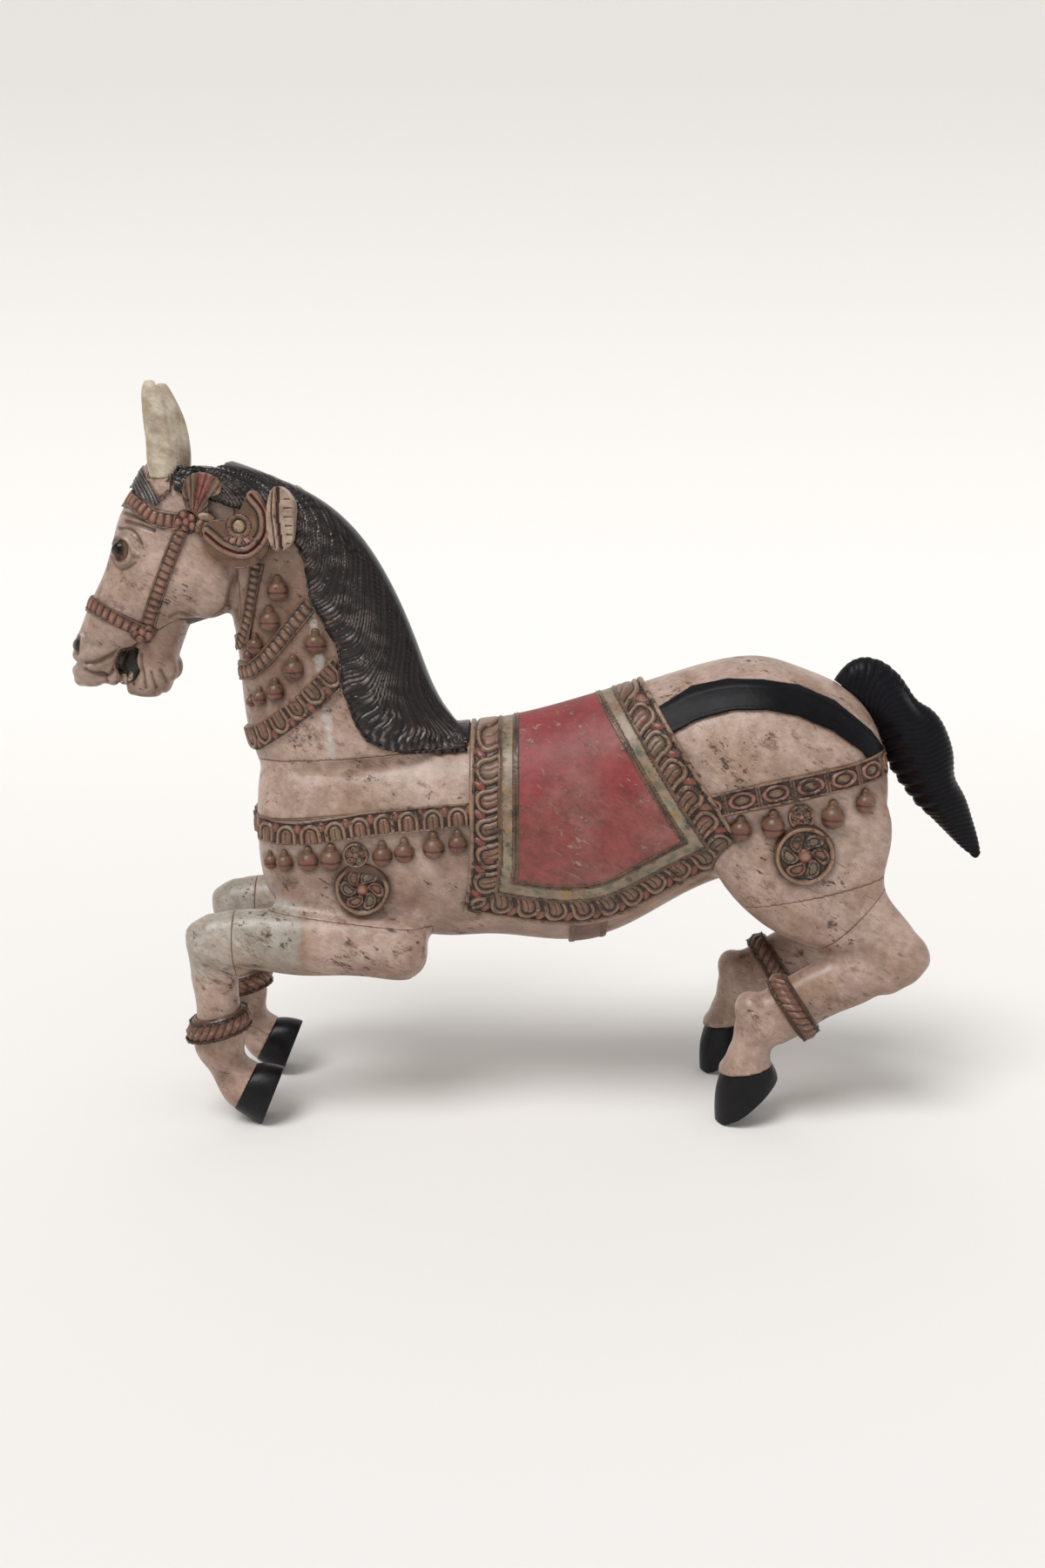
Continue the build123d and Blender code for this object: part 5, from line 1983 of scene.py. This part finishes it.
@dataclass
class Scroll(Plate):
    """The C-shaped scroll: banded outer curve, a volute round a ball and a fringe of petals."""

    def pattern(self, p: np.ndarray) -> tuple[np.ndarray, np.ndarray]:
        """Bands about the C, ring and ball of the volute, petals below."""
        x, z = p[:, 0], p[:, 2]
        d, s, side = path_distance(x, z, C_LINE)
        d = d * side * (-1.0 if np.mean(side) > 0 else 1.0)
        height = 0.62 - 0.5 * bump(d, 0.0, 3.5) + 0.38 * bump(d, 5.0, 7.0) + 0.38 * bump(d, -5.0, 7.0)
        height = height - 0.35 * bump(d, 11.0, 3.5)
        colour = np.tile(0.7 * np.array(INK.ochre) + 0.3 * np.array(INK.dark), (len(p), 1))
        colour = blend(colour, INK.red, smoothstep(4.0, 2.0, np.abs(d)) * 0.8)
        colour = blend(colour, INK.orange, ((d < -2.5) & (d > -8.0)).astype(float) * 0.5)
        ball = np.hypot(x + 440, z - 942)
        volute = ball < 19
        height = np.where(volute, 0.25 + 0.6 * bump(ball, 15, 7), height)
        height = np.where(ball < 9, 0.25 + 0.75 * np.sqrt(np.clip(1 - (ball / 9) ** 2, 0, 1)), height)
        colour = swap(colour, ball < 9, tone("#a08a68"))
        colour = swap(colour, volute & (ball > 9), INK.ochre)
        fringe = (d > 11) & (z < 925)
        petal = 0.3 + 0.7 * np.abs(np.cos(math.pi * s / 13.0))
        height = np.where(fringe, petal, height)
        colour = np.where(fringe[:, None], 0.5 * np.array(INK.red) + 0.5 * np.array(INK.pale), colour)
        return grooved(height, colour)


@dataclass
class TempleLeaf(Plate):
    """The upright leaf behind the scroll: a grooved plain lobe and a notched one."""

    def pattern(self, p: np.ndarray) -> tuple[np.ndarray, np.ndarray]:
        """Two lobes parted by an orange line."""
        x, z = p[:, 0], p[:, 2]
        middle = np.interp(z, (905, 960, 1002), (-377, -382, -379))
        d = x - middle
        notches = bump(wrap(z, 13.0), 0, 0.22) * (d > 9)
        height = np.where(d < 0, 1 - 0.5 * bump(d, -9, 4), 0.9 - 0.4 * notches)
        split = np.abs(d) < 2.5
        height = np.where(split, 0.25, height)
        colour = np.tile(np.array(tone("#b5a08f")), (len(p), 1))
        colour = swap(colour, split | ((d < 0) & (d > -5)), INK.orange)
        return grooved(height, colour)


@dataclass
class Fan(Plate):
    """Three leaf lobes that fan up behind the browband."""

    def pattern(self, p: np.ndarray) -> tuple[np.ndarray, np.ndarray]:
        """Lobes by angle about the foot of the fan."""
        angle = np.degrees(np.arctan2(p[:, 0] + 514, p[:, 2] - 950))
        u = (angle + 10) / 20.0
        lobe = np.floor(u)
        v = u - lobe - 0.5
        height = 0.2 + 0.8 * bump(v, 0, 1.0) - 0.35 * bump(v, 0, 0.2)
        brown = 0.75 * np.array(INK.ochre) + 0.25 * np.array(INK.dark)
        colour = swap(np.tile(brown, (len(p), 1)), lobe == 1, INK.red)
        return grooved(height, colour)


PLATES = (Scroll("temple_scrolls", 10, 5.5), TempleLeaf("temple_leaves", 10, 5.0), Fan("brow_fans", 10, 5.0))
HAIRS = (
    Mane("mane", 12, 6.5, voxel=2.1 * MM, pitch=7.5), Forelock("forelock", 9, 4.0, voxel=1.6 * MM, pitch=6.5),
    Tail("tail", 12, 2.6, voxel=2.2 * MM, pitch=8.5, finish=TAIL_PAINT),
)
BELLS = (Bells("breast_bells", BREAST_BELLS), Bells("breeching_bells", BREECHING_BELLS),
         Bells("neck_bells", NECK_BELLS))


@dataclass
class Carvings:
    """Hair, saddle cloth, anklets, bells and temple carvings."""

    parts: tuple = HAIRS + (SaddleCloth("saddle_cloth", 10, 5.5, voxel=2.1 * MM),) + ANKLETS + BELLS + PLATES

    def build(self) -> None:
        """Builds every carving."""
        for part in self.parts:
            part.build()


def place_camera() -> None:
    """Sets the camera level with the horse's flank, a little above it."""
    camera = bpy.data.objects.new("camera", bpy.data.cameras.new("camera"))
    bpy.context.scene.collection.objects.link(camera)
    camera.data.lens, camera.data.sensor_width, camera.data.sensor_fit = 34.0, 36.0, "AUTO"
    target = Vector((-0.018, 0.0, 0.530))
    away, rise = 2.38, math.radians(12.0)
    camera.location = target + Vector((0.0, -away * math.cos(rise), away * math.sin(rise)))
    camera.rotation_mode = "QUATERNION"
    camera.rotation_quaternion = (target - camera.location).to_track_quat("-Z", "Y")
    bpy.context.scene.camera = camera
    bpy.context.scene.view_settings.view_transform = "Standard"


def lay_floor() -> None:
    """A pale sheet that lies under the horse and curves up behind it."""
    half_width, radius, steps, drop = 9.0, 3.0, 24, 0.0005
    turns = [math.radians(90) * i / steps for i in range(steps + 1)]
    bend = [(radius + radius * math.sin(turn), radius - radius * math.cos(turn)) for turn in turns]
    rows = [(-6.0, 0.0)] + bend + [(6.0, 9.0)]
    verts = np.array([(x, y, z - drop) for y, z in rows for x in (-half_width, half_width)])
    faces = np.array([(2 * i, 2 * i + 1, 2 * i + 3, 2 * i + 2) for i in range(len(rows) - 1)])
    floor = build_mesh("floor", verts, faces)
    smooth_shade(floor)
    plain = bpy.data.materials.new("pale studio floor")
    plain.use_nodes = True
    shader = plain.node_tree.nodes["Principled BSDF"]
    shader.inputs["Base Color"].default_value = linear("#f2f0ed")
    shader.inputs["Roughness"].default_value = 0.9
    floor.data.materials.append(plain)


def hang_lights() -> None:
    """A bright room, a wide key light from above and a weak fill from the front."""
    world = bpy.data.worlds.new("studio")
    bpy.context.scene.world = world
    world.use_nodes = True
    back = world.node_tree.nodes["Background"]
    back.inputs["Color"].default_value = linear("#fdfcfb")
    back.inputs["Strength"].default_value = 0.5
    for name, place, spread_deg, power in (
        ("key", (-0.9, -1.15, 3.2), 30.0, 1.84),
        ("fill", (1.6, -2.6, 1.0), 60.0, 0.12),
    ):
        light = bpy.data.lights.new(name, "SUN")
        light.angle, light.energy = math.radians(spread_deg), power
        lamp = bpy.data.objects.new(name, light)
        bpy.context.scene.collection.objects.link(lamp)
        lamp.location = place
        lamp.rotation_mode = "QUATERNION"
        lamp.rotation_quaternion = (Vector((0, 0, 0.55)) - Vector(place)).to_track_quat("-Z", "Y")


def write_sizes() -> None:
    """Updates the view layer."""
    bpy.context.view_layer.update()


def main() -> None:
    """Builds every sub-assembly in order and reports it."""
    logging.basicConfig(level=logging.INFO, format="%(message)s")
    for part in (Carcass(), Head(), Harness(), Carvings()):
        started = time.perf_counter()
        part.build()
        LOG.info("%s built in %.1f s", type(part).__name__, time.perf_counter() - started)
    place_camera()
    lay_floor()
    hang_lights()
    write_sizes()


if __name__ == "__main__":
    main()
